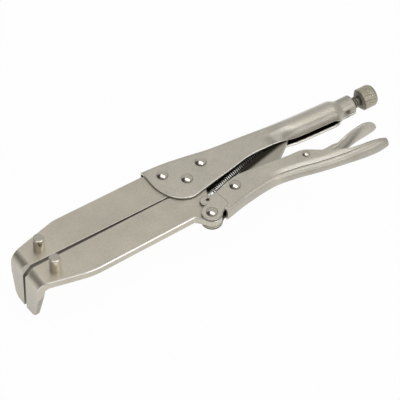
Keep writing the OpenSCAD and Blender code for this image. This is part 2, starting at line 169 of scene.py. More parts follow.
@dataclass(frozen=True)
class SmoothLine:
    """A smooth line through knots of (x, height)."""

    knots: tuple[Spot, ...]

    def rise(self, i: int) -> float:
        """Returns the slope at knot i."""
        a, b = max(i - 1, 0), min(i + 1, len(self.knots) - 1)
        return (self.knots[b][1] - self.knots[a][1]) / (self.knots[b][0] - self.knots[a][0])

    def at(self, x: float) -> float:
        """Reads the line.

        Args:
            x: where to read it.

        Returns:
            The line's height there.
        """
        i = 0
        while i < len(self.knots) - 2 and x > self.knots[i + 1][0]:
            i += 1
        (x0, y0), (x1, y1) = self.knots[i], self.knots[i + 1]
        w = x1 - x0
        t = (x - x0) / w
        u = 1 - t
        return (y0 * u * u * (1 + 2 * t) + y1 * t * t * (3 - 2 * t)
                + w * t * u * (self.rise(i) * u - self.rise(i + 1) * t))


class Wall(Enum):
    """Which side of a folded sheet a face is on."""

    OUTER = "outer"
    RIM = "rim"
    EDGE = "edge"
    INNER = "inner"


@dataclass
class Solid:
    """A mesh in the making, with each face's scuffing and painted sheen and its painted shade noted for the finish.
    """

    verts: Points = field(default_factory=list)
    faces: list[tuple[int, ...]] = field(default_factory=list)
    wear_and_sheen: list[float] = field(default_factory=list)
    inside: list[float] = field(default_factory=list)

    def face(self, corners: Sequence[int], wear_and_sheen: float = 0.0, inside: float = 0.0) -> None:
        """Adds a face.

        Args:
            corners: numbers of its points, in order.
            wear_and_sheen: how much scuffing and painted sheen brighten it.
            inside: how much painted shade darkens it.
        """
        self.faces.append(tuple(corners))
        self.wear_and_sheen.append(wear_and_sheen)
        self.inside.append(inside)

    def sheet(self, outer: Sequence[Points], inner: Sequence[Points], corner: float, dark: Callable[[float], float],
              mark: Callable[[int, int], Spot], rim_wear_and_sheen: float = 1.0,
              shade: Callable[[int], float] = lambda k: 0.0) -> None:
        """Adds a folded sheet between matching sections, with its two long rims rounded.

        Args:
            outer: sections of the outer side, edge to edge.
            inner: matching sections of the inner side.
            corner: radius of the rims' corners, in metres.
            dark: how much painted shade darkens the inner side, by its share along the sheet.
            mark: how much scuffing and painted sheen and how much painted shade the outer side has, by section and
                step.
            rim_wear_and_sheen: how much scuffing and painted sheen brighten the rims.
            shade: how much painted shade darkens the cut edge below a rim, by section.
        """
        base = len(self.verts)
        loops = [sheet_loop(o, i, corner) for o, i in zip(outer, inner)]
        size, n = len(loops[0][0]), len(outer[0])
        for points, _ in loops:
            self.verts.extend(points)
        tags = loops[0][1]
        for k in range(len(loops) - 1):
            for j in range(size):
                a, b = base + k * size + j, base + k * size + (j + 1) % size
                tone = {Wall.OUTER: mark(k, j), Wall.RIM: (rim_wear_and_sheen, 0.0), Wall.EDGE: (rim_wear_and_sheen, shade(k)),
                        Wall.INNER: (0.0, dark(k / len(loops)))}
                self.face((a, b, b + size, a + size), *tone[tags[j]])
        rim = (size - 2 * n) // 2
        for k in (0, len(loops) - 1):
            first = base + k * size
            for j in range(n - 1):
                back = 2 * n + rim - 1 - j
                self.face((first + j, first + j + 1, first + back - 1, first + back), 1.0)
            self.face([first + n - 1 + j for j in range(rim + 2)], 1.0)
            self.face([first + (2 * n + rim - 1 + j) % size for j in range(rim + 2)], 1.0)

    def plate(self, outline: Outline, low: float, high: float, bevel: float, holes: Sequence[Outline] = (),
              dark: float = 0.0, line: float = 0.0, line_w: float = 0.45) -> None:
        """Adds a flat plate with a rounded edge.

        Args:
            outline: its corners in millimetres from the jaw pivot.
            low, high: its two faces' heights, in millimetres.
            bevel: radius of its edges, in millimetres.
            holes: outlines that are cut through it.
            dark: how much painted shade darkens its walls.
            line: how much painted shade darkens its upper face along its edges.
            line_w: how wide that line is, in millimetres.
        """
        bm = bmesh.new()
        for corners in (outline, *holes):
            made = [bm.verts.new(place(x, y, low)) for x, y in corners]
            for a, b in zip(made, made[1:] + made[:1]):
                bm.edges.new((a, b))
        bmesh.ops.triangle_fill(bm, use_beauty=True, use_dissolve=False, edges=bm.edges[:])
        raised = bmesh.ops.extrude_face_region(bm, geom=bm.faces[:])["geom"]
        bmesh.ops.translate(bm, vec=UPWARD * (high - low) * MM,
                            verts=[v for v in raised if isinstance(v, bmesh.types.BMVert)])
        soften(bm, bevel * MM)
        shade = bm.faces.layers.float.new("inside")
        for f in bm.faces:
            f[shade] = dark * ease((0.8 - abs(f.normal.z)) / 0.5)
        if line:
            top = [f for f in bm.faces if f.normal.z > 0.999]
            inset = bmesh.ops.inset_region(bm, faces=top, thickness=line_w * MM, use_even_offset=True)
            for f in inset["faces"]:
                f[shade] = line
        self.take(bm)

    def take(self, bm: bmesh.types.BMesh) -> None:
        """Adds the faces of an editable mesh, with its layers of scuffing and painted sheen and of painted shade, and
        frees it.

        Args:
            bm: the mesh.
        """
        base = len(self.verts)
        wear_and_sheen, inside = bm.faces.layers.float.get("wear_and_sheen"), bm.faces.layers.float.get("inside")
        bm.verts.index_update()
        self.verts.extend(v.co.copy() for v in bm.verts)
        for f in bm.faces:
            self.face([base + v.index for v in f.verts], f[wear_and_sheen], f[inside])
        bm.free()

    def turned(self, profile: Outline, middle: Vector, axis: Vector, count: int,
               dark: Sequence[float] = ()) -> None:
        """Adds a turned piece.

        Args:
            profile: (radius, height along the axis) in millimetres, from one end to the other.
            middle: the point of the axis at height 0, in metres.
            axis: direction of the axis.
            count: number of sides.
            dark: how much painted shade darkens the profile's first steps.
        """
        base = len(self.verts)
        turn = axis.to_track_quat("Z", "Y")
        for r, h in profile:
            for k in range(count):
                a = 2 * math.pi * k / count
                self.verts.append(middle + turn @ Vector((r * math.cos(a), r * math.sin(a), h)) * MM)
        for i in range(len(profile) - 1):
            tone = dark[i] if i < len(dark) else 0.0
            for k in range(count):
                a, b = base + i * count + k, base + i * count + (k + 1) % count
                self.face((a, b, b + count, a + count), 0.0, tone)
        self.face([base + k for k in reversed(range(count))])
        self.face([base + (len(profile) - 1) * count + k for k in range(count)])

    def to_object(self, name: str) -> bpy.types.Object:
        """Turns the notes into a mesh object with even, flat-true normals.

        Args:
            name: the object's name.

        Returns:
            The new object.
        """
        mesh = bpy.data.meshes.new(name)
        low, high = CAD_BOX
        held = [[min(max(c, a), b) for c, a, b in zip(v, low, high)] for v in self.verts]
        mesh.from_pydata(held, [], self.faces)
        for label, values in (("wear_and_sheen", self.wear_and_sheen), ("inside", self.inside)):
            mesh.attributes.new(label, "FLOAT", "FACE").data.foreach_set("value", values)
        with editing(mesh) as bm:
            bmesh.ops.remove_doubles(bm, verts=bm.verts[:], dist=1e-7)
            bmesh.ops.recalc_face_normals(bm, faces=bm.faces[:])
        return flat_true(link(mesh, name))


def sheet_loop(outer: Points, inner: Points, corner: float) -> tuple[Points, list[Wall]]:
    """Closes a sheet's section round its two edges.

    Args:
        outer: points of the outer side, edge to edge.
        inner: matching points of the inner side.
        corner: radius of the edges' corners, in metres.

    Returns:
        The closed loop's points and the wall that each of its steps belongs to.
    """

    def edge(o: Vector, o_next: Vector, i: Vector) -> tuple[Vector, Points, Vector]:
        """Rounds one edge of the section.

        Args:
            o: the outer side's last point.
            o_next: the point before it.
            i: the inner side's last point.

        Returns:
            Where the outer side ends, the rounded rim and where the inner side starts.
        """
        out = (o - o_next).normalized()
        across = i - o
        r = min(corner, 0.45 * across.length)
        across.normalize()
        near, far = o - out * r + across * r, i - out * r - across * r
        rim = [near + r * (out * math.sin(a) - across * math.cos(a)) for a in (0.52, 1.05, 1.57)]
        rim += [far + r * (out * math.cos(a) + across * math.sin(a)) for a in (0.0, 0.52, 1.05)]
        return o - out * r, rim, i - out * r

    o0, rim0, i0 = edge(outer[0], outer[1], inner[0])
    o1, rim1, i1 = edge(outer[-1], outer[-2], inner[-1])
    points = [o0, *outer[1:-1], o1, *rim1, i1, *reversed(inner[1:-1]), i0, *reversed(rim0)]
    side, rim = len(outer) - 1, [Wall.RIM] * 3 + [Wall.EDGE] * 4
    return points, [Wall.OUTER] * side + rim + [Wall.INNER] * side + rim[::-1]


def soften(bm: bmesh.types.BMesh, radius: float, handled: EdgeTest = no_edge) -> None:
    """Rounds the sharp edges of bm and notes the new faces in its layer of scuffing and painted sheen.

    Args:
        bm: the mesh to change.
        radius: width of the rounded edge, in metres.
        handled: tells which edges hands touch, and so are broader and brighter, with scuffing and painted sheen.
    """
    bmesh.ops.remove_doubles(bm, verts=bm.verts[:], dist=2e-6)
    bmesh.ops.recalc_face_normals(bm, faces=bm.faces[:])
    bmesh.ops.dissolve_limit(bm, angle_limit=math.radians(0.4), verts=bm.verts[:], edges=bm.edges[:])
    layer = bm.faces.layers.float.new("wear_and_sheen")
    for sheen_and_wear, share, size, rounds in ((True, 1.0, 2.0, 1), (False, 0.6, 1.0, 4)):
        sharp = [e for e in bm.edges if len(e.link_faces) == 2 and e.calc_face_angle(0.0) > math.radians(24)
                 and handled(e) == sheen_and_wear]
        made = bmesh.ops.bevel(bm, geom=sharp, offset=radius * size, offset_type="OFFSET", segments=rounds,
                               profile=0.5, affect="EDGES", clamp_overlap=False)
        for f in made["faces"]:
            f[layer] = share


def link(data: bpy.types.ID, name: str) -> bpy.types.Object:
    """Puts a mesh, light or camera into the scene.

    Args:
        data: what the object holds.
        name: the object's name.

    Returns:
        The new object.
    """
    made = bpy.data.objects.new(name, data)
    bpy.context.scene.collection.objects.link(made)
    return made


def applied(made: bpy.types.Object) -> bpy.types.Object:
    """Turns an object's modifiers into plain mesh.

    Args:
        made: the object.

    Returns:
        The same object.
    """
    graph = bpy.context.evaluated_depsgraph_get()
    mesh = bpy.data.meshes.new_from_object(made.evaluated_get(graph), preserve_all_data_layers=True,
                                           depsgraph=graph)
    made.modifiers.clear()
    made.data = mesh
    mesh.name = made.name
    return made


def flip(made: bpy.types.Object) -> None:
    """Turns a mesh's faces over if its uppermost one points down.

    Args:
        made: the object.
    """
    with editing(made.data) as bm:
        if max(bm.faces, key=lambda f: f.calc_center_median().z).normal.z < 0:
            bmesh.ops.reverse_faces(bm, faces=bm.faces[:])


def flat_true(made: bpy.types.Object) -> bpy.types.Object:
    """Smooths an object's shading, with large faces kept flat.

    Args:
        made: the object.

    Returns:
        The same object.
    """
    made.data.shade_smooth()
    made.data.set_sharp_from_angle(angle=math.radians(40))
    normal = made.modifiers.new("even_normals", "WEIGHTED_NORMAL")
    normal.weight = 100
    normal.keep_sharp = True
    return applied(made)


def cad_piece(node: str, name: str, radius: float, shade: Callable[[bmesh.types.BMesh], None],
              handled: EdgeTest = no_edge) -> bpy.types.Object:
    """Copies a CAD node and rounds its edges.

    Args:
        node: the node's name.
        name: the new piece's name.
        radius: width of the rounded edges, in millimetres.
        shade: cuts and notes faces that painted shade darkens.
        handled: tells which edges hands touch, for scuffing and painted sheen.

    Returns:
        The new object.
    """
    solid = Solid()
    bm = bmesh.new()
    bm.from_mesh(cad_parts[node].data)
    soften(bm, radius * MM, handled)
    shade(bm)
    solid.take(bm)
    return solid.to_object(name)


class Tree:
    """A small helper for building node trees."""

    KINDS = {int: "NodeSocketInt", float: "NodeSocketFloat", tuple: "NodeSocketColor", Vector: "NodeSocketVector"}

    def __init__(self, tree: bpy.types.NodeTree) -> None:
        """Takes up a tree to add nodes to."""
        self.tree = tree
        self.start: bpy.types.Node | None = None

    @classmethod
    def shader(cls, name: str, inputs: dict[str, object], outputs: Sequence[str]) -> "Tree":
        """Starts a shader group.

        Args:
            name: the group's name.
            inputs: its inputs' defaults, by name.
            outputs: its outputs' names.

        Returns:
            The helper for it.
        """
        made = cls(bpy.data.node_groups.new(name, "ShaderNodeTree"))
        made.sockets(inputs)
        for label in outputs:
            made.socket(label, cls.KINDS[tuple if label == "Color" else float], out=True)
        return made

    @classmethod
    def geometry(cls, name: str, inputs: dict[str, object], from_mesh: bool = False) -> "Tree":
        """Starts a geometry group that gives its result a finish.

        Args:
            name: the group's name.
            inputs: its other inputs' defaults, by name.
            from_mesh: whether it starts from a mesh.

        Returns:
            The helper for it.
        """
        made = cls(bpy.data.node_groups.new(name, "GeometryNodeTree"))
        if from_mesh:
            made.socket("Geometry", "NodeSocketGeometry")
        made.sockets(inputs)
        made.socket("Finish", "NodeSocketMaterial")
        made.socket("Geometry", "NodeSocketGeometry", out=True)
        return made

    def sockets(self, inputs: dict[str, object]) -> None:
        """Adds named inputs, each of the kind that its default has."""
        for name, value in inputs.items():
            self.socket(name, self.KINDS[type(value)], value)

    def socket(self, name: str, kind: str, value: object = None, out: bool = False) -> None:
        """Adds a named input or output.

        Args:
            name: its name.
            kind: Blender's name for its kind.
            value: its default, if it has one.
            out: whether it is an output.
        """
        made = self.tree.interface.new_socket(name, in_out="OUTPUT" if out else "INPUT", socket_type=kind)
        if value is not None:
            made.default_value = value

    def given(self, name: str) -> bpy.types.NodeSocket:
        """Finds one of the tree's own inputs.

        Args:
            name: its name.

        Returns:
            The socket to link from.
        """
        if self.start is None:
            self.start = self.tree.nodes.new("NodeGroupInput")
        return self.start.outputs[name]

    def node(self, kind: str, inputs: dict[object, object] | None = None, **settings: object) -> bpy.types.Node:
        """Adds a node.

        Args:
            kind: Blender's name for it.
            inputs: values, or sockets to link from, by input name or number.
            settings: other properties.

        Returns:
            The node.
        """
        made = self.tree.nodes.new(kind)
        for key, value in settings.items():
            setattr(made, key, value)
        return self.feed(made, inputs or {})

    def feed(self, node: bpy.types.Node, inputs: dict[object, object]) -> bpy.types.Node:
        """Sets or links a node's inputs.

        Args:
            node: the node.
            inputs: values, or sockets to link from, by input name or number.

        Returns:
            The same node.
        """
        for key, value in inputs.items():
            if isinstance(value, bpy.types.NodeSocket):
                self.tree.links.new(value, node.inputs[key])
            else:
                node.inputs[key].default_value = value
        return node

    def first(self, kind: str, inputs: dict[object, object] | None = None,
              **settings: object) -> bpy.types.NodeSocket:
        """Adds a node and returns its first output."""
        return self.node(kind, inputs, **settings).outputs[0]

    def math(self, operation: str, a: object, b: object = 0.0, c: object = 0.0) -> bpy.types.NodeSocket:
        """Adds a Math node and returns its output."""
        return self.first("ShaderNodeMath", {0: a, 1: b, 2: c}, operation=operation)

    def vector(self, operation: str, a: object, b: object) -> bpy.types.NodeSocket:
        """Adds a Vector Math node and returns its vector, with b as the factor where it scales a."""
        second = "Scale" if operation == "SCALE" else 1
        return self.first("ShaderNodeVectorMath", {0: a, second: b}, operation=operation)

    def joined(self, x: object = 0.0, y: object = 0.0, z: object = 0.0) -> bpy.types.NodeSocket:
        """Returns the vector of three values."""
        return self.first("ShaderNodeCombineXYZ", {0: x, 1: y, 2: z})

    def mixed(self, share: object, a: object, b: object) -> bpy.types.NodeSocket:
        """Returns the colour a share of the way from a to b."""
        return self.node("ShaderNodeMix", {0: share, 6: a, 7: b}, data_type="RGBA").outputs[2]

    def noise(self, scale: object, detail: float, rough: float = 0.5) -> bpy.types.NodeSocket:
        """Adds a noise in the object's own coordinates.

        Args:
            scale: how fine it is.
            detail: how many finer layers it has.
            rough: how strong those are.

        Returns:
            The noise's value.
        """
        spot = self.node("ShaderNodeTexCoord").outputs["Object"]
        return self.node("ShaderNodeTexNoise", {"Vector": spot, "Scale": scale, "Detail": detail,
                                                "Roughness": rough}).outputs["Fac"]

    def grid_share(self) -> tuple[bpy.types.NodeSocket, bpy.types.NodeSocket]:
        """Returns how far along X and Y each point of a grid of size 1 lies, from 0 to 1."""
        spot = self.node("ShaderNodeSeparateXYZ", {0: self.first("GeometryNodeInputPosition")})
        return self.math("ADD", spot.outputs[0], 0.5), self.math("ADD", spot.outputs[1], 0.5)

    def result(self, **values: bpy.types.NodeSocket) -> bpy.types.NodeTree:
        """Links the tree's outputs.

        Args:
            values: sockets to link from, by output name.

        Returns:
            The node tree.
        """
        end = self.tree.nodes.new("NodeGroupOutput")
        for name, value in values.items():
            self.tree.links.new(value, end.inputs[name])
        return self.tree

    def finished(self, geometry: bpy.types.NodeSocket) -> bpy.types.NodeTree:
        """Makes the geometry real, gives it the finish and sets it as the result.

        Args:
            geometry: the socket to link from.

        Returns:
            The node tree.
        """
        real = self.first("GeometryNodeRealizeInstances", {0: geometry})
        return self.result(Geometry=self.first("GeometryNodeSetMaterial", {
            "Geometry": real, "Material": self.given("Finish")}))


def grown(name: str, tree: bpy.types.NodeTree, inputs: dict[str, object],
          mesh: bpy.types.Mesh | None = None) -> bpy.types.Object:
    """Runs a geometry tree and returns its result as a plain mesh object.

    Args:
        name: the new object's name.
        tree: the geometry tree.
        inputs: values for the tree's named inputs.
        mesh: what the tree starts from, if it needs a mesh.

    Returns:
        The new object.
    """
    made = link(mesh or bpy.data.meshes.new(name), name)
    modifier = made.modifiers.new(tree.name, "NODES")
    modifier.node_group = tree
    for item in tree.interface.items_tree:
        if item.item_type == "SOCKET" and item.in_out == "INPUT" and item.name in inputs:
            modifier[item.identifier] = inputs[item.name]
    return applied(made)


@dataclass(frozen=True)
class Finish:
    """A metal finish: its colour, gloss, grain, and its scuffing and painted sheen."""

    name: str
    slot: str
    color: tuple[float, float, float]
    roughness: float
    spread: float = 0.08
    grain: float = 1500.0
    depth: float = 0.1
    cloud: float = 0.06
    # The colour below brightens scuffed faces and paints sheen on edges and rims.
    wear_and_sheen_color: tuple[float, float, float] = (0.90, 0.875, 0.81)
    sheen_and_wear: float = 0.7
    coat: float = 0.0


class Steel(Enum):
    """The finishes on the tool."""

    SHEET = Finish("satin_nickel_sheet", "plated_sheet", (0.64, 0.595, 0.50), 0.5, cloud=0.42, depth=0.4, sheen_and_wear=1.0,
                   coat=1.0)
    JAW = Finish("satin_nickel_jaw", "plated_jaw", (0.63, 0.578, 0.474), 0.46, cloud=0.42, depth=0.4, sheen_and_wear=1.0,
                 coat=1.0)
    # A darker copy of the jaw finish: painted shade for the link, which lies under the tube.
    LINK = Finish("nickel_link_shaded", "plated_jaw", (0.52, 0.48, 0.40), 0.45)
    POLISHED = Finish("polished_nickel", "polished_steel", (0.74, 0.69, 0.585), 0.12, 0.04, 900.0, 0.02, 0.03)
    PEG = Finish("turned_nickel", "polished_steel", (0.71, 0.665, 0.57), 0.16, 0.06, 1200.0, 0.03, 0.08)
    SPRING = Finish("spring_wire", "spring_steel", (0.95, 0.93, 0.87), 0.16, 0.06, 1800.0, 0.05)
    THREAD = Finish("oiled_thread", "spring_steel", (0.50, 0.47, 0.40), 0.34)
    KNURL = Finish("knurled_nickel", "plated_jaw", (0.70, 0.655, 0.55), 0.34)


class Dresser:
    """Makes each finish's material once, from shared node groups."""

    CLOUDS, SPECKS, PATCHES = 38.0, 700.0, 160.0
    SPECK_HEIGHT = 0.6
    BUMP = 0.0002
    # The near-black colour below is painted shade for inner walls, gaps, grooves and hollows.
    DIRT = (0.036, 0.029, 0.02, 1.0)
    DIRT_ROUGH, RUBBED_ROUGH = 0.3, -0.14
    COAT = {"Coat Roughness": 0.16, "Coat IOR": 1.75}

    def __init__(self) -> None:
        """Builds the shared groups."""
        self.grain = self.grain_group()
        self.wear_and_sheen = self.wear_sheen_and_shade_group()
        self.made: dict[str, bpy.types.Material] = {}

    def grain_group(self) -> bpy.types.NodeTree:
        """Builds the group for the plating's fine grain and cloudy tone.

        Returns:
            The node tree.
        """
        t = Tree.shader("plating_grain", {"Color": GREY, "Roughness": 0.3, "Spread": 0.1, "Scale": 1500.0,
                                          "Cloud": 0.06}, ("Color", "Roughness", "Height"))
        fine, wide = t.noise(t.given("Scale"), 3.0), t.noise(self.CLOUDS, 4.0, 0.6)
        speck = t.noise(self.SPECKS, 3.0, 0.7)
        tone = t.math("SUBTRACT", t.math("ADD", wide, speck), 1.0)
        shade = t.math("MULTIPLY_ADD", tone, t.given("Cloud"), 1.0)
        rough = t.math("MULTIPLY_ADD", t.math("SUBTRACT", wide, 0.5), t.given("Spread"), t.given("Roughness"))
        return t.result(Color=t.vector("SCALE", t.given("Color"), shade), Roughness=rough,
                        Height=t.math("MULTIPLY_ADD", speck, self.SPECK_HEIGHT, fine))

    def wear_sheen_and_shade_group(self) -> bpy.types.NodeTree:
        """Builds the group that brightens scuffed edges with painted sheen and darkens faces with painted shade.

        Returns:
            The node tree.
        """
        t = Tree.shader("wear_sheen_and_shade", {"Color": GREY, "Worn Color": GREY, "Roughness": 0.3, "Worn": 0.6,
                                         "Coat": 0.0}, ("Color", "Roughness", "Coat"))
        edge, inner = (t.node("ShaderNodeAttribute", attribute_name=name).outputs["Fac"]
                       for name in ("wear_and_sheen", "inside"))
        patch = t.math("MULTIPLY_ADD", t.noise(self.PATCHES, 3.0), 0.8, 0.5)
        rub = t.first("ShaderNodeClamp", {0: t.math("MULTIPLY", t.math("MULTIPLY", edge, t.given("Worn")), patch)})
        bright = t.mixed(rub, t.given("Color"), t.given("Worn Color"))
        dull = t.math("MULTIPLY_ADD", inner, self.DIRT_ROUGH, t.given("Roughness"))
        return t.result(Color=t.mixed(inner, bright, self.DIRT),
                        Roughness=t.math("MULTIPLY_ADD", rub, self.RUBBED_ROUGH, dull),
                        Coat=t.math("MULTIPLY", t.given("Coat"), t.math("SUBTRACT", 1.0, inner)))

    def material(self, steel: Steel) -> bpy.types.Material:
        """Makes the material for a finish, or finds it if it is made already.

        Args:
            steel: the finish.

        Returns:
            The material.
        """
        finish = steel.value
        if finish.name in self.made:
            return self.made[finish.name]
        made = bpy.data.materials.new(finish.name)
        made.use_nodes = True
        t = Tree(made.node_tree)
        grain = t.node("ShaderNodeGroup", {
            "Color": (*finish.color, 1.0), "Roughness": finish.roughness, "Spread": finish.spread,
            "Scale": finish.grain, "Cloud": finish.cloud}, node_tree=self.grain).outputs
        wear_and_sheen = t.node("ShaderNodeGroup", {
            "Color": grain["Color"], "Roughness": grain["Roughness"], "Worn Color": (*finish.wear_and_sheen_color, 1.0),
            "Worn": finish.sheen_and_wear, "Coat": finish.coat}, node_tree=self.wear_and_sheen).outputs
        bump = t.first("ShaderNodeBump", {"Strength": finish.depth, "Distance": self.BUMP, "Height": grain["Height"]})
        t.feed(t.tree.nodes["Principled BSDF"], {
            **self.COAT, "Metallic": 1.0, "Base Color": wear_and_sheen["Color"], "Roughness": wear_and_sheen["Roughness"],
            "Coat Weight": wear_and_sheen["Coat"], "Normal": bump})
        self.made[finish.name] = made
        return made

    def dress(self, piece: bpy.types.Object, steel: Steel, body: str, *nodes: str) -> None:
        """Gives a piece its finish and its place in the frame.

        Args:
            piece: the object.
            steel: its finish.
            body: the body that it rides on.
            nodes: the CAD nodes that it stands for.
        """
        piece.data.materials.clear()
        piece.data.materials.append(self.material(steel))
        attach(piece, body)
        if nodes:
            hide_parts(*nodes)
        LOG.info("%s: %d faces, on %s", piece.name, len(piece.data.polygons), body)


@dataclass
class Stack:
    """The thicknesses that the pieces share, in millimetres."""

    jaw: float = 7.2
    sheet: float = 1.9
    side_gap: float = 0.2

    @property
    def half(self) -> float:
        """Half of the jaw plates' thickness."""
        return self.jaw / 2

    @property
    def cheek(self) -> float:
        """Height of the cheeks' outer faces above the middle."""
        return self.half + self.sheet


@dataclass
class FixedHandle:
    """The folded sheet that runs from a flat channel to a slotted tube and a necked collar."""

    stack: Stack
    fold: float = 4.0
    front: float = 25.9
    drop: float = 17.6
    back_front: float = 25.8
    roll_x: float = 68.0
    roll_run: float = 28.0
    tube: float = 10.8
    slot: float = 3.5
    tube_end: float = 131.0
    neck_run: float = 8.0
    seam: float = 0.5
    collar: float = 8.1
    collar_run: float = 19.0
    lip: float = 0.8
    bore: float = 4.65
    screw_y: float = 2.15
    nose: Spot = (-3.9, 12.6)
    tab: Spot = (71.0, -0.2)
    tab_hole: float = 1.15
    corner: float = 0.55
    # The darks below paint shade on the inner side, cut edge, seam, collar and tube; the last field paints a
    # highlight on the tube's top.
    inner_dark: float = 0.92
    edge_dark: float = 0.7
    seam_dark: float = 0.78
    collar_dark: float = 0.2
    under_dark: float = 0.26
    start_dark: float = 0.12
    tube_highlight: float = 0.3

    def __post_init__(self) -> None:
        """Draws the two guiding lines."""
        self.back_line = SmoothLine(((-self.front, self.back_front), (-7.5, 24.4), (9, 21.8), (30, 17.8), (59, 14.7),
                                     (94, self.tube - 0.1), (self.tube_end, self.tube - self.screw_y)))
        self.edge_line = SmoothLine(((-3.9, -self.drop), (16.4, -13.5), (37.4, -9.6), (48.5, -7.3), (58.2, -6.4),
                                     (70, -6.8), (self.tube_end, -6.4)))

    def neck(self, x: float) -> float:
        """Returns the share of the change from tube to collar."""
        return ease((x - self.tube_end) / self.neck_run)

    def radius(self, x: float) -> float:
        """Returns the tube's outer radius, which narrows to the collar."""
        return mix(self.tube, self.collar, self.neck(x))

    def wall(self, x: float) -> float:
        """Returns the sheet's thickness, which fills out to the screw in the collar."""
        return mix(self.stack.sheet, self.collar - self.bore, self.neck(x))

    def edge(self, x: float) -> float:
        """Reads the line of the cheeks' lower edge, which is an arc at the nose.

        Args:
            x: place along the tool, in millimetres from the jaw pivot.

        Returns:
            The edge's height, in millimetres.
        """
        cx, cy = self.nose
        if x >= cx:
            return self.edge_line.at(x)
        u = (cx - x) / (self.front + cx)
        return cy - (cy + self.drop) * math.sqrt(max(0.0, 1 - u * u))

    def section(self, x: float, depth: float) -> Points:
        """Draws the section, which rolls from a flat-cheeked channel into a tube.

        Args:
            x: place along the tool, in millimetres from the jaw pivot.
            depth: how far below the outer face it lies, in millimetres.

        Returns:
            The section's points, edge to edge.
        """
        back = self.back_line.at(x) if x < self.tube_end else self.radius(x) - self.screw_y
        top, w, r = back - depth, self.stack.cheek - depth, self.radius(x) - depth
        fold = max(self.fold - depth, 0.3)
        low = self.edge(min(x, self.tube_end))
        flat = [(mix(low, top - fold, i / 10), w) for i in range(11)]
        flat += [(top - fold + fold * math.sin(a), w - fold + fold * math.cos(a))
                 for a in steps(0, math.pi / 2, 10)[1:]]
        flat += [(top, (w - fold) * k) for k in (0.66, 0.33, 0.0)]
        narrow = r / self.radius(x) if x < self.tube_end + self.neck_run / 2 else 1.0
        gap = mix(self.slot, self.seam, ease((x - self.tube_end + 3) / 7)) * narrow
        start = -math.degrees(math.acos(gap / r))
        angles = steps(start, 10, 10) + steps(10, 74, 10)[1:] + [79.3, 84.7, 90.0]
        tube = [(top - r + r * sin(a), r * cos(a)) for a in angles]
        roll = ease((x - self.roll_x) / self.roll_run)
        half = [(mix(p[0], q[0], roll), mix(p[1], q[1], roll)) for p, q in zip(flat, tube)]
        return [place(x, y, -z) for y, z in half] + [place(x, y, z) for y, z in reversed(half[:-1])]

    def stops(self) -> list[Spot]:
        """Places the sections, with both ends rounded.

        Returns:
            The place along the tool and the depth of each.
        """
        c, cx = self.corner, self.nose[0]
        necked, end, lip = self.tube_end + self.neck_run, self.tube_end + self.collar_run, self.lip
        nose = [cx - (self.front + cx) * cos(a) for a in (12, 18, 25, 32, 40, 48, 56, 64, 73, 82)]
        plain = nose + steps(cx, 50, 27) + steps(50, 95, 22)[1:] + steps(95, self.tube_end, 12)[1:]
        plain += steps(self.tube_end, necked, 12)[1:] + steps(necked + 1, end - 3, 5) + [end - 1.4]
        first = [(-self.front, c), (0.29 * c - self.front, 0.29 * c), (c - self.front, 0.0)]
        last = [(end - lip, 0.0), (end - 0.3 * lip, 0.3 * lip), (end, lip)]
        return first + [(x, 0.0) for x in plain] + last

    def build(self) -> bpy.types.Object:
        """Builds the handle with the spring's tab within it.

        Returns:
            The new object.
        """
        solid = Solid()
        stops = self.stops()
        outer = [self.section(x, d) for x, d in stops]
        solid.sheet(outer, [self.section(x, self.wall(x) - min(d, 0.5)) for x, d in stops], self.corner * MM,
                    lambda t: self.inner_dark, lambda k, j: self.mark(stops[k][0], j, len(outer[0]) - 1),
                    shade=lambda k: self.edge_dark * (1 - ease((stops[k][0] - 50) / 15)))
        tx, ty = self.tab
        solid.plate([(tx - 3.5, ty - 3), (tx + 4, ty - 3), (tx + 4, 11), (tx - 3.5, 11)], -1, 1, 0.25,
                    [ring(self.tab, self.tab_hole, 16)])
        return solid.to_object("fixed_handle_shell")

    def mark(self, x: float, j: int, count: int) -> Spot:
        """Notes the outer side's tone: painted shade at the seam, the collar and the tube's underside, a painted
        highlight above.

        Args:
            x: place along the handle, in millimetres.
            j: step of the section.
            count: number of its steps.

        Returns:
            How much painted highlight and how much painted shade the step has.
        """
        j = min(j, count - 1 - j)
        neck, tube = self.neck(x), ease((x - 66) / 9)
        seam = self.seam_dark * (j < 3) * (1 - ease(abs(x - self.tube_end - 10.5) / 4.5))
        under = self.under_dark * (1 - ease((j - 3.5) / 3)) * tube * (1 - neck)
        start = self.start_dark * (j < 9) * ease((x - 64) / 9) * (1 - ease((x - 84) / 14))
        sheen_and_wear = self.tube_highlight * ease((j - 8) / 5) * tube * (1 - neck)
        return sheen_and_wear, max(seam, self.collar_dark * neck, under + start)

    def dress(self, dresser: Dresser) -> None:
        """Builds the handle and finishes it."""
        dresser.dress(self.build(), Steel.SHEET, "frame", "fixed_handle")


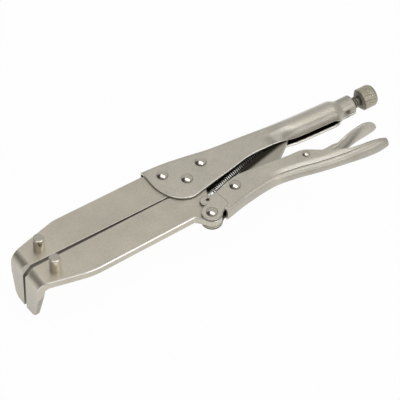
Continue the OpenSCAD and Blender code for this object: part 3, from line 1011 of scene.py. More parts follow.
@dataclass
class Jaws:
    """The two bent plates and their pegs."""

    edge: float = 0.32
    peg_d: float = 8.8
    peg_h: float = 13.0
    peg_round: float = 0.9
    slit: Spot = (-11.0, -5.0)
    outer_sides: Spot = (-17.0, 3.0)
    tip_z: float = -4.0
    slit_dark: float = 0.5
    side_dark: float = 0.3
    front_dark: float = 0.1

    def shade(self, bm: bmesh.types.BMesh) -> None:
        """Paints shade on the walls of the slit between the jaws, and on the front and the outer side of the tips.

        Args:
            bm: a jaw.
        """
        dark = bm.faces.layers.float.new("inside")
        for f in bm.faces:
            spot = (f.calc_center_median() - PIVOT) / MM
            if self.slit[0] < spot.y < self.slit[1] and abs(f.normal.y) > 0.3:
                f[dark] = self.slit_dark * ease((abs(f.normal.y) - 0.3) / 0.6)
            elif spot.z < self.tip_z:
                f[dark] = max(self.side_dark * ease((-0.5 - f.normal.y) / 0.4),
                              self.front_dark * ease((-0.6 - f.normal.x) / 0.3))

    def outer(self, edge: bmesh.types.BMEdge) -> bool:
        """Tells whether an edge runs along the outer side of a jaw, away from the slit.

        Args:
            edge: the edge.

        Returns:
            True if it does.
        """
        a, b = (v.co for v in edge.verts)
        y = ((a + b) / 2 - PIVOT).y / MM
        low, high = self.outer_sides
        return (y > high or y < low) and abs((b - a).normalized().z) < 0.9

    def peg(self, node: str) -> bpy.types.Object:
        """Builds a peg, rounded at its top and with a small chamfer at its foot.

        Args:
            node: the CAD node that it stands for.

        Returns:
            The new object.
        """
        low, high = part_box(node)
        middle = Vector(((low.x + high.x) / 2, (low.y + high.y) / 2, high.z))
        r, h, c = self.peg_d / 2, self.peg_h, self.peg_round
        solid = Solid()
        solid.turned([(r / 1.5, -h - 6.6), (r / 1.5, -h), (r - 0.3, -h), (r - 0.08, -h + 0.12), (r, -h + 0.4),
                      *arc(r - c, -c, c, 0, 90, 8), (r * 0.5, 0.0), (0.2, 0.0)], middle, UPWARD, 64)
        return solid.to_object(node + "_turned")

    def dress(self, dresser: Dresser) -> None:
        """Builds both jaws and both pegs and finishes them.

        Args:
            dresser: the maker of finishes.
        """
        for node, body in (("fixed_jaw", "frame"), ("moving_jaw", "moving_jaw")):
            dresser.dress(cad_piece(node, node + "_plate", self.edge, self.shade, self.outer), Steel.JAW, body, node)
            dresser.dress(self.peg(node + "_peg"), Steel.PEG, body, node + "_peg")


@dataclass
class LowerHandle:
    """The folded trough with two ears, and the crease pressed along its back."""

    stack: Stack
    half_width: float = 6.2
    end: float = 151.4
    waist: float = 37.3
    belly: float = 52.3
    ear: float = 8.3
    ear_proud: float = 0.22
    pin: Spot = (-2.2, -38.2)
    hook: Spot = (1.6, -26.2)
    hook_hole: float = 1.15
    crease: float = 0.32
    swage: float = 0.7
    corner: float = 0.5
    # The darks below paint shade in the crease, fold, inner side and ears; the second field paints a highlight above
    # the crease.
    crease_dark: float = 0.8
    crease_highlight: float = 0.75
    fold_dark: float = 0.24
    inner_dark: float = 0.75
    ear_dark: float = 0.65
    ear_line: float = 0.45

    def __post_init__(self) -> None:
        """Draws the two guiding lines."""
        self.rim_line = SmoothLine(((8, -23.4), (13, -22.6), (22.5, -19.5), (35, -17.6), (53.6, -19.6), (78, -22.6),
                                    (90, -23.9), (100, -30.2), (113, -38.2), (122, -42.4), (142, -46),
                                    (self.end, -47.8)))
        self.back_line = SmoothLine(((8, -44.6), (30.9, -39.6), (55, -self.waist), (75.5, -41), (91.4, -45),
                                     (108, -48.2), (125, -50.8), (140, -self.belly), (self.end, 0.7 - self.belly)))

    def width(self, x: float) -> float:
        """Returns the handle's half width, drawn in at its rear end."""
        u = max(0.0, (x - self.end + 10) / 10)
        return mix(self.stack.cheek, self.half_width, ease((x - 98) / 30)) * math.sqrt(1 - 0.62 * u * u)

    def section(self, x: float, depth: float) -> Points:
        """Draws the section of the trough, with the crease and the swage pressed into its sides.

        Args:
            x: place along the tool, in millimetres from the jaw pivot.
            depth: how far below the outer face it lies, in millimetres.

        Returns:
            The section's points, rim to rim.
        """
        top, low = self.rim_line.at(x), self.back_line.at(x)
        turn = ease((x - 40) / 45)
        r = min(mix(2.6, 5.5, turn), 0.8 * (top - low)) - depth
        across = mix(2.6, 0.94 * self.width(x), turn) - depth
        w = self.width(x) - depth
        low += depth
        pressed = self.pressed(x)
        sag, deep = self.swage * pressed, self.crease * pressed
        across -= sag
        half = []
        for i in range(15):
            y = mix(top, low + r, i / 14)
            half.append((y, w - sag * ease((low + r + 4 - y) / 4)))
        for a in steps(0, 12, 10)[1:] + steps(12, 90, 18)[1:]:
            dent = deep * bell((a - 4) / 2.6)
            half.append((low + r - (r - dent) * sin(a), w - sag - across + (across - dent) * cos(a)))
        half.append((low, 0.0))
        return [place(x, y, z) for y, z in half] + [place(x, y, -z) for y, z in reversed(half[:-1])]

    def pressed(self, x: float) -> float:
        """Returns how deep the crease is at x, from 0 to 1."""
        return ease((x - 52) / 14) * ease((132 - x) / 16)

    def mark(self, x: float, j: int, count: int) -> Spot:
        """Notes the outer side's tone: painted shade in the crease, the fold and the roll below, a painted highlight
        on the crease's upper side.

        Args:
            x: place along the handle, in millimetres.
            j: step of the section.
            count: number of its steps.

        Returns:
            How much painted highlight and how much painted shade the step has.
        """
        j = min(j, count - 1 - j)
        share = self.pressed(x)
        plain = 1 - ease((x - 50) / 14)
        if 15 <= j < 19:
            return 0.0, max(self.crease_dark * share, self.fold_dark * plain)
        if j < 15:
            return self.crease_highlight * share * ease((j - 9) / 5), 0.2 * plain * (j == 14)
        return 0.0, max(0.16 * share, (self.fold_dark if j < 26 else 0.14) * plain, 0.22 * ease((x - 95) / 25))

    def ear_outline(self) -> list[Spot]:
        """Draws an ear, with the lobe that the spring hooks into.

        Returns:
            Its corners, in millimetres from the jaw pivot.
        """
        hx, hy = self.hook
        return (arc(hx - 1.8, hy + 0.2, 4.6, 28, 235, 22) + arc(*self.pin, self.ear, 115, 328, 30)
                + [(8.4, -40.6), (12.6, -39.2), (13.6, -36.0), (12.4, -27.5), (11.6, -23.4), (8.6, -23.7)])

    def build(self) -> bpy.types.Object:
        """Builds the trough and its two ears.

        Returns:
            The new object.
        """
        solid = Solid()
        c = self.corner
        stops = [(x, 0.0) for x in steps(8, 94, 52) + steps(94, 122, 16)[1:] + steps(122, self.end - 10, 9)[1:]]
        stops += [(self.end - 10 + (10 - c) * sin(a), 0.0) for a in (15, 30, 42, 53, 63, 72, 81, 90)]
        stops += [(self.end - 0.29 * c, 0.29 * c), (self.end, c)]
        t = self.stack.sheet
        outer = [self.section(x, d) for x, d in stops]
        solid.sheet(outer, [self.section(x, t - d) for x, d in stops], c * MM,
                    lambda s: self.inner_dark * ease((0.72 - s) / 0.3),
                    lambda k, j: self.mark(stops[k][0], j, len(outer[0]) - 1))
        near, half = self.stack.cheek + self.ear_proud, self.stack.half
        solid.plate(self.ear_outline(), half, near, 0.35, [ring(self.hook, self.hook_hole, 20)], self.ear_dark,
                    self.ear_line)
        solid.plate(self.ear_outline(), -near, -half, 0.35, dark=self.ear_dark)
        return solid.to_object("lower_handle_shell")

    def dress(self, dresser: Dresser) -> None:
        """Builds the handle and finishes it."""
        dresser.dress(self.build(), Steel.SHEET, "lower_handle", "lower_handle")


@dataclass
class ReleaseLever:
    """The bent strip with two flanges and a spoon-shaped paddle."""

    stack: Stack
    strip: float = 1.8
    paddle: float = 16.0
    end: float = 153.0
    tip_run: float = 13.0
    pin: Spot = (89.7, -28.9)
    dish: float = 0.55
    across: int = 24
    streak_dark: float = 0.43
    paddle_dark: float = 0.16

    def __post_init__(self) -> None:
        """Draws the strip's line."""
        self.line = SmoothLine(((66, -29.6), (80, -32.2), (92, -33.4), (104, -33), (114, -33.4), (123, -32.6),
                                (132, -30.8), (141, -29.6), (148, -29.9), (self.end, -31.3)))

    def half(self, x: float) -> float:
        """Reads how wide the strip is, with its rear end rounded.

        Args:
            x: place along the tool, in millimetres from the jaw pivot.

        Returns:
            Half of its width, in millimetres.
        """
        u = max(0.0, (x - self.end + self.tip_run) / self.tip_run)
        inner = self.stack.half - self.stack.side_gap
        return mix(inner, self.paddle / 2, ease((x - 110) / 15)) * math.sqrt(1 - 0.97 * u * u)

    def section(self, x: float, depth: float) -> Points:
        """Draws one face of the strip across its length, with the paddle dished.

        Args:
            x: place along the tool, in millimetres from the jaw pivot.
            depth: how far the face lies from the strip's middle, in millimetres.

        Returns:
            The face's points, side to side.
        """
        h, y = self.half(x), self.line.at(x)
        slope = math.atan((self.line.at(x + 0.2) - self.line.at(x - 0.2)) / 0.4)
        bowl = self.dish * ease((x - 116) / 14)
        return [place(x - depth * math.sin(slope), y + depth * math.cos(slope) + bowl * (k * k - 0.5), h * k)
                for k in steps(-1, 1, self.across)]

    def tone(self, x: float, k: float) -> float:
        """Notes the painted shade on the paddle, darkest in the streak that runs slantwise over it.

        Args:
            x: place along the tool, in millimetres from the jaw pivot.
            k: share of the half width, from -1 to 1.

        Returns:
            How much painted shade darkens the paddle there.
        """
        off = k - mix(-1.0, 0.9, (x - 114) / 30)
        streak = bell(off / (0.5 if off > 0 else 0.62)) * (1 - ease((x - 126) / 22))
        return (self.paddle_dark * (1 - 0.8 * ease((x - 128) / 18)) + self.streak_dark * streak) * ease((x - 110) / 8)

    def build(self) -> bpy.types.Object:
        """Builds the strip and its two flanges.

        Returns:
            The new object.
        """
        solid = Solid()
        t = self.strip / 2
        tip = self.end - self.tip_run
        stops = steps(66, tip, 44) + [tip + self.tip_run * sin(a)
                                      for a in (9, 18, 27, 36, 45, 54, 62, 70, 78, 85, 90)]
        solid.sheet([self.section(x, -t) for x in stops], [self.section(x, t) for x in stops], 0.5 * MM,
                    lambda s: 0.0, lambda k, j: (0.0, self.tone(stops[k], 2 * j / self.across - 1)), rim_wear_and_sheen=0.1)
        px, py = self.pin
        flange = ([(78, -32)] + arc(px, py, 4.4, 150, 76, 10) + [(96, -28), (103, -30.6), (108, -30.7), (113, -30.2),
                  (118, -31.2), (121, -32.4), (114, -33.2), (104, -32.9), (92, -33.3)])
        inner = self.stack.half - self.stack.side_gap
        for low in (inner - self.strip, -inner):
            solid.plate(flange, low, low + self.strip, 0.3)
        return solid.to_object("release_lever_shell")

    def dress(self, dresser: Dresser) -> None:
        """Builds the lever and finishes it."""
        dresser.dress(self.build(), Steel.SHEET, "release_lever", "release_lever")


class RivetSize(Enum):
    """Head radius, head height, lip and shank radius of each kind of rivet, in millimetres."""

    LARGE = (4.5, 2.1, 0.55, 3.0)
    SMALL = (2.9, 1.5, 0.33, 1.7)


@dataclass
class Rivets:
    """The domed rivets, grown by one tree."""

    stack: Stack
    rows: int = 18
    sides: int = 48
    wall_dark: float = 0.85
    rim_dark: float = 0.6

    def tree(self) -> bpy.types.NodeTree:
        """Builds the tree that turns a two-headed rivet.

        Returns:
            The node tree.
        """
        sizes = dict.fromkeys(("Head Radius", "Head Height", "Lip", "Grip", "Shank Radius"), MM)
        t = Tree.geometry("domed_rivet", {**sizes, "Middle": Vector()})
        domed = self.rows - 3
        r, h = t.given("Head Radius"), t.math("SUBTRACT", t.given("Head Height"), t.given("Lip"))
        ball = t.math("DIVIDE", t.math("ADD", t.math("MULTIPLY", r, r), t.math("MULTIPLY", h, h)),
                      t.math("MULTIPLY", h, 2.0))
        widest = t.math("ARCSINE", t.math("DIVIDE", r, ball))
        grid = t.first("GeometryNodeMeshGrid", {"Size X": 1.0, "Size Y": 1.0, "Vertices X": self.sides + 1,
                                                "Vertices Y": self.rows})
        across, along = t.grid_share()
        turn = t.math("MULTIPLY", across, 2 * math.pi)
        share = t.math("MULTIPLY", along, (self.rows - 1) / domed)
        tilt = t.math("MULTIPLY", t.math("MINIMUM", share, 1.0), widest)
        below = t.math("GREATER_THAN", share, 1.01)
        under = t.math("GREATER_THAN", share, 1.0 + 1.5 / domed)
        radius = t.math("MULTIPLY", t.math("MULTIPLY", ball, t.math("SINE", tilt)), t.math("SUBTRACT", 1.0, under))
        dome = t.math("ADD", t.math("SUBTRACT", t.math("MULTIPLY", ball, t.math("COSINE", tilt)),
                                    t.math("SUBTRACT", ball, h)), t.given("Lip"))
        level = t.math("MULTIPLY", dome, t.math("SUBTRACT", 1.0, below))
        spot = t.joined(t.math("MULTIPLY", radius, t.math("COSINE", turn)),
                        t.math("MULTIPLY", radius, t.math("SINE", turn)), t.math("ADD", level, t.given("Grip")))
        head = t.first("GeometryNodeSetPosition", {"Geometry": grid, "Position": spot})
        whole = t.first("GeometryNodeMergeByDistance", {"Geometry": head, "Distance": 1e-6})
        other = t.first("GeometryNodeTransform", {"Geometry": whole, "Rotation": (math.pi, 0.0, 0.0)})
        shank = t.first("GeometryNodeMeshCylinder", {"Vertices": 32, "Radius": t.given("Shank Radius"),
                                                     "Depth": t.math("MULTIPLY", t.given("Grip"), 2.0)})
        both = t.node("GeometryNodeJoinGeometry")
        for part in (whole, other, shank):
            t.feed(both, {0: part})
        return t.finished(t.first("GeometryNodeTransform", {"Geometry": both.outputs[0],
                                                            "Translation": t.given("Middle")}))

    def shade(self, made: bpy.types.Object, middle: Vector, width: float) -> None:
        """Paints shade on the shank, the lip and the rim of each head.

        Args:
            made: the rivet.
            middle: its middle, in metres.
            width: its heads' width, in metres.
        """
        with editing(made.data) as bm:
            bmesh.ops.recalc_face_normals(bm, faces=bm.faces[:])
            dull = bm.faces.layers.float.new("inside")
            for f in bm.faces:
                reach = (f.calc_center_median() - middle).to_2d().length / width
                upright = abs(f.normal.z) < 0.3
                f[dull] = self.wall_dark if upright else self.rim_dark * ease((reach - 0.44) / 0.04)

    def dress(self, dresser: Dresser) -> None:
        """Grows each rivet and finishes it.

        Args:
            dresser: the maker of finishes.
        """
        tree = self.tree()
        for body, nodes in (("frame", ("front_jaw_rivet", "rear_jaw_rivet", "jaw_pivot_rivet")),
                            ("lower_handle", ("handle_rivet", "toggle_rivet", "release_rivet"))):
            for node in nodes:
                size = RivetSize.SMALL if node == "release_rivet" else RivetSize.LARGE
                head_r, head_h, lip, shank_r = (v * MM for v in size.value)
                low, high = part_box(node)
                middle = (low + high) / 2
                made = grown(node + "_domed", tree, {
                    "Head Radius": head_r, "Head Height": head_h, "Lip": lip, "Grip": self.stack.cheek * MM,
                    "Shank Radius": shank_r, "Middle": tuple(middle), "Finish": dresser.material(Steel.POLISHED)})
                self.shade(made, middle, high.x - low.x)
                dresser.dress(flat_true(made), Steel.POLISHED, body, node)


@dataclass
class ReturnSpring:
    """The tension spring from the lower handle's ear to the fixed handle's tab."""

    stack: Stack
    hook: Spot
    tab: Spot
    wire: float = 1.1
    coil: float = 5.6
    curls: int = 30
    curl_steps: int = 20
    start: Spot = (12.5, -18.6)
    end: Spot = (66.0, -2.0)
    lift: float = 0.4
    slide: Spot = (15.63, -3.92)
    inner_dark: float = 0.95
    covered_dark: float = 0.9
    hook_dark: float = 0.92

    def route(self) -> Points:
        """Draws the wire's middle line, from hook to hook.

        Returns:
            The line's points, in metres.
        """
        top = self.stack.cheek + 0.3 + self.wire / 2
        hx, hy = self.hook
        r = (self.coil - self.wire) / 2
        a, b = Vector((*self.start, self.lift)), Vector((*self.end, self.lift))
        along = (b - a).normalized()
        aside = Vector((-along.y, along.x, 0))
        front = [(hx, hy, self.stack.half + self.wire), (hx, hy, self.stack.cheek - 0.1),
                 (hx + 0.3, hy + 0.13, top - 0.4), (hx + 1, hy + 0.43, top), (5.6, -23.6, top),
                 (7.4, -22, top - 0.3), (9.2, -20.6, top - 1.6), (11, -19.4, 3.5)]
        tx, ty = self.tab
        tail = [(tx - 3.2, ty - 1, r + 0.3), (tx - 1.6, ty - 0.4, 2.1), (tx - 0.4, ty - 0.1, 1.75), (tx, ty, 1.1),
                (tx, ty, 0.3), (tx, ty, -self.wire)]
        count = self.curl_steps * self.curls
        turns = steps(0, 2 * math.pi * self.curls, count)
        coil = [a.lerp(b, i / count) + r * (math.cos(turn) * UPWARD + math.sin(turn) * aside)
                for i, turn in enumerate(turns)]
        return [place(*p) for p in (*front, *coil, *tail)]

    def tree(self) -> bpy.types.NodeTree:
        """Builds the tree that draws a wire along an edge path.

        Returns:
            The node tree.
        """
        t = Tree.geometry("coiled_wire", {"Wire Radius": MM / 2}, from_mesh=True)
        path = t.first("GeometryNodeMeshToCurve", {"Mesh": t.given("Geometry")})
        round_wire = t.first("GeometryNodeCurvePrimitiveCircle", {"Resolution": 10, "Radius": t.given("Wire Radius")})
        return t.finished(t.first("GeometryNodeCurveToMesh", {"Curve": path, "Profile Curve": round_wire,
                                                              "Fill Caps": True}))

    def shade(self, made: bpy.types.Object) -> None:
        """Paints shade on the wire where it faces into the coil, lies between the cheeks or stands in the ear's hole.

        Args:
            made: the wire.
        """
        a, b = place(*self.start, self.lift), place(*self.end, self.lift)
        along = (b - a).normalized()
        with editing(made.data) as bm:
            dark = bm.faces.layers.float.new("inside")
            for f in bm.faces:
                middle = f.calc_center_median()
                reach = (middle - a).dot(along)
                if 0 < reach < (b - a).length:
                    out = (middle - a - along * reach).normalized()
                    f[dark] = max(self.inner_dark * ease((0.75 - f.normal.dot(out)) / 0.7),
                                  self.covered_dark * ease((reach / MM - 18) / 18))
                elif (middle - place(*self.hook)).xy.length < self.wire * MM:
                    f[dark] = self.hook_dark

    def dress(self, dresser: Dresser) -> None:
        """Grows the spring and finishes it.

        Args:
            dresser: the maker of finishes.
        """
        route = self.route()
        mesh = bpy.data.meshes.new("spring_route")
        mesh.from_pydata(route, [(i, i + 1) for i in range(len(route) - 1)], [])
        made = grown("return_spring_wire", self.tree(), {
            "Wire Radius": self.wire / 2 * MM, "Finish": dresser.material(Steel.SPRING)}, mesh)
        self.shade(made)
        dresser.dress(flat_true(made), Steel.SPRING, "frame", "return_spring")
        move = Vector((*self.slide, 0))
        reach = (Vector((*self.tab, 0)) - Vector((*self.hook, 0))).dot(move.normalized())
        place(*self.tab)
        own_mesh(made)


@dataclass
class AdjustingScrew:
    """The threaded shank and its knurled knob."""

    handle: FixedHandle
    screw_d: float = 9.2
    tip: float = 94.3
    out: float = 6.8
    knob_d: float = 17.6
    knob_l: float = 14.0
    pitch: float = 1.75
    thread: float = 0.62
    hidden: float = 10.0
    spigot: float = 3.0
    knurl_across: int = 38
    knurl_rows: int = 9
    knurl_l: float = 9.6
    knurl_h: float = 0.42
    knurl_from: float = 1.85
    # How strongly painted shade darkens the thread's grooves.
    shade_paint: float = 1.8

    @property
    def knob_x(self) -> float:
        """Where the knob's shoulder stands."""
        return self.handle.tube_end + self.handle.collar_run + self.out

    def thread_tree(self) -> bpy.types.NodeTree:
        """Builds the tree that cuts a thread along X.

        Returns:
            The node tree.
        """
        sizes = dict.fromkeys(("Radius", "Depth", "Pitch", "Length"), MM)
        t = Tree.geometry("cut_thread", {**sizes, "Start": Vector()})
        rows = t.math("ADD", t.math("MULTIPLY", t.math("DIVIDE", t.given("Length"), t.given("Pitch")), 8.0), 1.0)
        grid = t.first("GeometryNodeMeshGrid", {"Size X": 1.0, "Size Y": 1.0, "Vertices X": rows, "Vertices Y": 41})
        across, share = t.grid_share()
        along = t.math("MULTIPLY", across, t.given("Length"))
        wave = t.math("PINGPONG", t.math("SUBTRACT", t.math("DIVIDE", along, t.given("Pitch")), share), 0.5)
        cut = t.math("MULTIPLY", t.math("MULTIPLY", wave, 2.0), t.given("Depth"))
        radius = t.math("SUBTRACT", t.given("Radius"), cut)
        turn = t.math("MULTIPLY", share, 2 * math.pi)
        spot = t.joined(along, t.math("MULTIPLY", radius, t.math("COSINE", turn)),
                        t.math("MULTIPLY", radius, t.math("SINE", turn)))
        # Painted shade in the thread's grooves, stored for the finish.
        groove_shaded = t.first("GeometryNodeStoreNamedAttribute", {
            "Geometry": grid, "Name": "inside", "Value": t.math("MULTIPLY", wave, self.shade_paint)}, data_type="FLOAT")
        cutter = t.first("GeometryNodeSetPosition", {"Geometry": groove_shaded, "Position": spot,
                                                     "Offset": t.given("Start")})
        return t.finished(t.first("GeometryNodeMergeByDistance", {"Geometry": cutter, "Distance": 1e-6}))

    def knurl_tree(self) -> bpy.types.NodeTree:
        """Builds the tree that sets staggered rows of flat-topped lozenges round a knob.

        Returns:
            The node tree.
        """
        sizes = dict.fromkeys(("Radius", "Length", "Height"), MM)
        t = Tree.geometry("diamond_knurl", {"Across": 40, "Rows": 9, **sizes, "Start": Vector()})
        across, rows = t.given("Across"), t.given("Rows")
        points = t.first("GeometryNodePoints", {"Count": t.math("MULTIPLY", across, rows)})
        index = t.first("GeometryNodeInputIndex")
        row = t.math("FLOOR", t.math("DIVIDE", t.math("ADD", index, 0.5), across))
        column = t.math("ADD", index, t.math("MULTIPLY", row, 0.5))
        turn = t.math("MULTIPLY", t.math("DIVIDE", column, across), 2 * math.pi)
        along = t.math("MULTIPLY", t.math("DIVIDE", t.math("ADD", row, 0.5), rows), t.given("Length"))
        out = t.joined(0.0, t.math("COSINE", turn), t.math("SINE", turn))
        spot = t.vector("ADD", t.vector("SCALE", out, t.given("Radius")), t.joined(along))
        placed = t.first("GeometryNodeSetPosition", {"Geometry": points,
                                                     "Position": t.vector("ADD", spot, t.given("Start"))})
        width = t.math("DIVIDE", t.math("MULTIPLY", t.given("Radius"), 2 * math.pi), across)
        tooth = t.first("GeometryNodeMeshCone", {"Vertices": 4, "Radius Top": 0.55, "Radius Bottom": 1.0,
                                                 "Depth": 1.0}, fill_type="NGON")
        size = t.joined(t.math("MULTIPLY", t.math("DIVIDE", t.given("Length"), rows), 0.9),
                        t.math("MULTIPLY", width, 0.45), t.given("Height"))
        facing = t.first("FunctionNodeAlignRotationToVector", {"Vector": out}, axis="Z")
        facing = t.first("FunctionNodeAlignRotationToVector", {"Rotation": facing, "Vector": ALONG}, axis="X",
                         pivot_axis="Z")
        return t.finished(t.first("GeometryNodeInstanceOnPoints", {"Points": placed, "Instance": tooth,
                                                                   "Rotation": facing, "Scale": size}))

    def shank(self) -> bpy.types.Object:
        """Builds the shank's plain core, which the thread joins.

        Returns:
            The new object.
        """
        r, x, tip = self.screw_d / 2, self.knob_x, self.tip
        core, neck = r - self.thread, r - 0.9
        solid = Solid()
        # The ring and the neck get painted shade.
        solid.turned([(0.2, tip), (r - 1.4, tip), (r - 1.0, tip + 0.2), (core, tip + 1), (core, x - 2.8),
                      (r - 0.1, x - 2.6), (r, x - 2.4), (r, x - 2.05), (r - 0.1, x - 1.9), (neck, x - 1.8),
                      (neck, x - 0.05), (self.spigot, x - 0.05), (self.spigot, x + 10), (0.2, x + 10)],
                     place(0, -self.handle.screw_y), ALONG, 48, (0, 0, 0, 0, 0, 0.4, 0.5, 0.4, 0.6, 0.6))
        return solid.to_object("adjusting_screw_core")

    def knob(self) -> bpy.types.Object:
        """Builds the knob's turned body.

        Returns:
            The new object.
        """
        r, end = self.knob_d / 2, self.knob_l
        solid = Solid()
        # Painted shade on the knob's front face and chamfer, its body between the lozenges and its rear bevel.
        solid.turned([(self.spigot + 0.05, 0.0), (r - 2.6, 0.0), (r - 2.2, 0.08), (r - 2.0, 0.25), (r - 0.6, 1.65),
                      (r - 0.45, 1.9), (r - 0.45, end - 2.6), (r - 0.5, end - 2.2), (r - 1.1, end - 1.0),
                      (r - 1.5, end - 0.45), (r - 2.2, end - 0.08), (r - 2.9, end), (0.2, end)],
                     place(self.knob_x, -self.handle.screw_y), ALONG, 72,
                     (0.66, 0.66, 0.66, 0.66, 0.5, 0.6, 0.4, 0.4, 0.3))
        return solid.to_object("adjusting_knob_body")

    def dress(self, dresser: Dresser) -> None:
        """Builds the shank and the knob and finishes them.

        Args:
            dresser: the maker of finishes.
        """
        start, y = self.knob_x - self.out - self.hidden, -self.handle.screw_y
        thread = grown("adjusting_screw_thread", self.thread_tree(), {
            "Radius": self.screw_d / 2 * MM, "Depth": self.thread * MM, "Pitch": self.pitch * MM,
            "Length": (self.knob_x - 2.7 - start) * MM, "Start": tuple(place(start, y)),
            "Finish": dresser.material(Steel.THREAD)})
        flip(thread)
        dresser.dress(self.shank(), Steel.THREAD, "adjusting_screw", "adjusting_screw")
        dresser.dress(flat_true(thread), Steel.THREAD, "adjusting_screw")
        knurl = grown("adjusting_knob_knurl", self.knurl_tree(), {
            "Across": self.knurl_across, "Rows": self.knurl_rows, "Radius": (self.knob_d / 2 - 0.46) * MM,
            "Length": self.knurl_l * MM, "Height": self.knurl_h * MM,
            "Start": tuple(place(self.knob_x + self.knurl_from, y)), "Finish": dresser.material(Steel.KNURL)})
        dresser.dress(self.knob(), Steel.KNURL, "adjusting_knob", "adjusting_knob")
        dresser.dress(knurl, Steel.KNURL, "adjusting_knob")


@dataclass
class ToggleLink:
    """The link between the toggle rivet and the screw."""

    edge: float = 0.5
    # The band of painted shadow across the link, in millimetres.
    shade_paint: Spot = (-16.0, -12.3)
    lean: float = 0.22
    lean_from: float = 56.0
    dark: float = 0.97

    def shade(self, bm: bmesh.types.BMesh) -> None:
        """Paints shadow on the part of the link that lies within the handle.

        Args:
            bm: the link.
        """
        low, high = self.shade_paint
        dark = bm.faces.layers.float.new("inside")
        across = Vector((-self.lean, 1, 0))
        for y in steps(low, high, 8):
            bmesh.ops.bisect_plane(bm, geom=bm.verts[:] + bm.edges[:] + bm.faces[:],
                                   plane_co=place(self.lean_from, y), plane_no=across)
        for f in bm.faces:
            reach = (f.calc_center_median() - place(self.lean_from, low)).dot(across) / MM
            f[dark] = self.dark * ease(reach / (high - low))

    def dress(self, dresser: Dresser) -> None:
        """Builds the link and finishes it."""
        dresser.dress(cad_piece("toggle_link", "toggle_link_plate", self.edge, self.shade), Steel.LINK,
                      "toggle_link", "toggle_link")


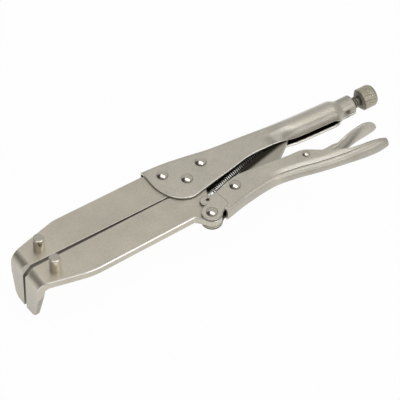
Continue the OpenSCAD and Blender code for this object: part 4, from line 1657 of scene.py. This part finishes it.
@dataclass
class Studio:
    """The floor, the lights and the camera."""

    azimuth: float = -33.0
    elevation: float = 50.0
    focal_px: float = 3500.0
    mm_per_px: float = 0.76
    image: float = 400.0
    sensor: float = 36.0
    seen_at: Spot = (187.0, 178.8)
    floor_half: float = 25.0
    floor_drop: float = 0.0005
    floor_color: tuple[float, float, float, float] = (0.86, 0.86, 0.85, 1.0)
    floor_seen: float = 0.97
    floor_mirrored: float = 0.58
    tent: float = 0.5
    shade: tuple[tuple[tuple[float, float, float], float, float, float], ...] = (
        ((-0.55, 0.42, 0.7), 0.8, 0.95, 0.85), ((-0.4, -0.75, 0.5), 0.72, 0.92, 0.4))

    def camera(self) -> None:
        """Puts the camera at the photograph's angle and distance."""
        a, e = self.azimuth, self.elevation
        back = Vector((sin(a) * cos(e), -cos(a) * cos(e), sin(e)))
        right = Vector((cos(a), sin(a), 0))
        up = back.cross(right)
        data = bpy.data.cameras.new("photo_camera")
        data.sensor_width = self.sensor
        data.lens = self.focal_px * self.sensor / self.image
        data.clip_start, data.clip_end = 0.1, 50
        made = link(data, "photo_camera")
        half, pixel = self.image / 2, self.mm_per_px * MM
        aim = place(0, 0, 5) + (right * (half - self.seen_at[0]) - up * (half - self.seen_at[1])) * pixel
        made.location = aim + back * self.focal_px * pixel
        made.rotation_mode = "QUATERNION"
        made.rotation_quaternion = (-back).to_track_quat("-Z", "Y")
        bpy.context.scene.camera = made

    def floor(self) -> None:
        """Lays a pale floor that keeps the shadow."""
        mesh = bpy.data.meshes.new("pale_floor")
        s = self.floor_half
        mesh.from_pydata([(-s, -s, 0), (s, -s, 0), (s, s, 0), (-s, s, 0)], [], [(0, 1, 2, 3)])
        made = link(mesh, "pale_floor")
        made.location.z = -self.floor_drop
        material = bpy.data.materials.new("pale_floor")
        material.use_nodes = True
        t = Tree(material.node_tree)
        shader = t.feed(t.tree.nodes["Principled BSDF"], {"Base Color": self.floor_color, "Roughness": 0.9,
                                                          "Specular IOR Level": 0.1})
        rays = t.node("ShaderNodeLightPath").outputs
        mirrored = t.math("MULTIPLY", rays["Is Glossy Ray"], self.floor_mirrored)
        seen = t.math("MULTIPLY_ADD", rays["Is Camera Ray"], self.floor_seen, mirrored)
        both = t.first("ShaderNodeMixShader", {0: seen, 1: shader.outputs[0],
                                               2: t.first("ShaderNodeEmission", {"Color": WHITE})})
        t.feed(t.tree.nodes["Material Output"], {"Surface": both})
        mesh.materials.append(material)

    def world(self) -> None:
        """Sets a pale tent with dark openings, and pale all over where the camera sees it."""
        world = bpy.data.worlds.new("studio_tent")
        world.use_nodes = True
        t = Tree(world.node_tree)
        spot = t.node("ShaderNodeTexCoord").outputs["Generated"]
        light: float | bpy.types.NodeSocket = 1.0
        for axis, start, end, share in self.shade:
            lean = t.node("ShaderNodeVectorMath", {0: spot, 1: Vector(axis).normalized()}, operation="DOT_PRODUCT")
            fade = t.first("ShaderNodeMapRange", {
                "Value": lean.outputs["Value"], "From Min": start, "From Max": end, "To Min": 1.0,
                "To Max": 1 - share}, interpolation_type="SMOOTHSTEP")
            light = t.math("MULTIPLY", light, fade)
        room = t.feed(t.tree.nodes["Background"], {"Color": light, "Strength": self.tent})
        both = t.first("ShaderNodeMixShader", {
            0: t.node("ShaderNodeLightPath").outputs["Is Camera Ray"], 1: room.outputs[0],
            2: t.first("ShaderNodeBackground", {"Color": WHITE})})
        t.feed(t.tree.nodes["World Output"], {"Surface": both})
        bpy.context.scene.world = world

    def softbox(self, name: str, where: Vector, width: float, height: float, glow: float, turn: float = 0.0) -> None:
        """Hangs a soft area light that faces the tool.

        Args:
            name: the light's name.
            where: its place, in metres.
            width, height: its size, in metres.
            glow: how bright its face is.
            turn: how far it is turned about its own axis, in degrees.
        """
        data = bpy.data.lights.new(name, "AREA")
        data.shape = "RECTANGLE"
        data.size, data.size_y, data.energy = width, height, glow * math.pi * width * height
        made = link(data, name)
        made.location = where
        made.rotation_mode = "QUATERNION"
        facing = (place(0, 0) - where).to_track_quat("-Z", "Y")
        made.rotation_quaternion = facing @ Quaternion(UPWARD, math.radians(turn))

    def build(self) -> None:
        """Sets up the whole studio."""
        bpy.context.scene.view_settings.view_transform = "Standard"
        self.camera()
        self.floor()
        self.world()
        self.softbox("top_box", Vector((0.08, -0.03, 1.33)), 0.62, 1.2, 2.2, self.azimuth)
        self.softbox("right_box", Vector((0.42, -1.17, 0.87)), 1.15, 0.6, 1.6)
        self.softbox("left_box", Vector((-1.1, -0.85, 0.55)), 0.8, 0.6, 0.6)


def main() -> None:
    """Builds every piece in order."""
    logging.basicConfig(level=logging.INFO, format="%(name)s: %(message)s")
    stack = Stack()
    handle, lower = FixedHandle(stack), LowerHandle(stack)
    Studio().build()
    dresser = Dresser()
    for part in (handle, Jaws(), lower, ReleaseLever(stack), ToggleLink(), Rivets(stack),
                 ReturnSpring(stack, lower.hook, handle.tab), AdjustingScrew(handle)):
        part.dress(dresser)


if __name__ == "__main__":
    main()
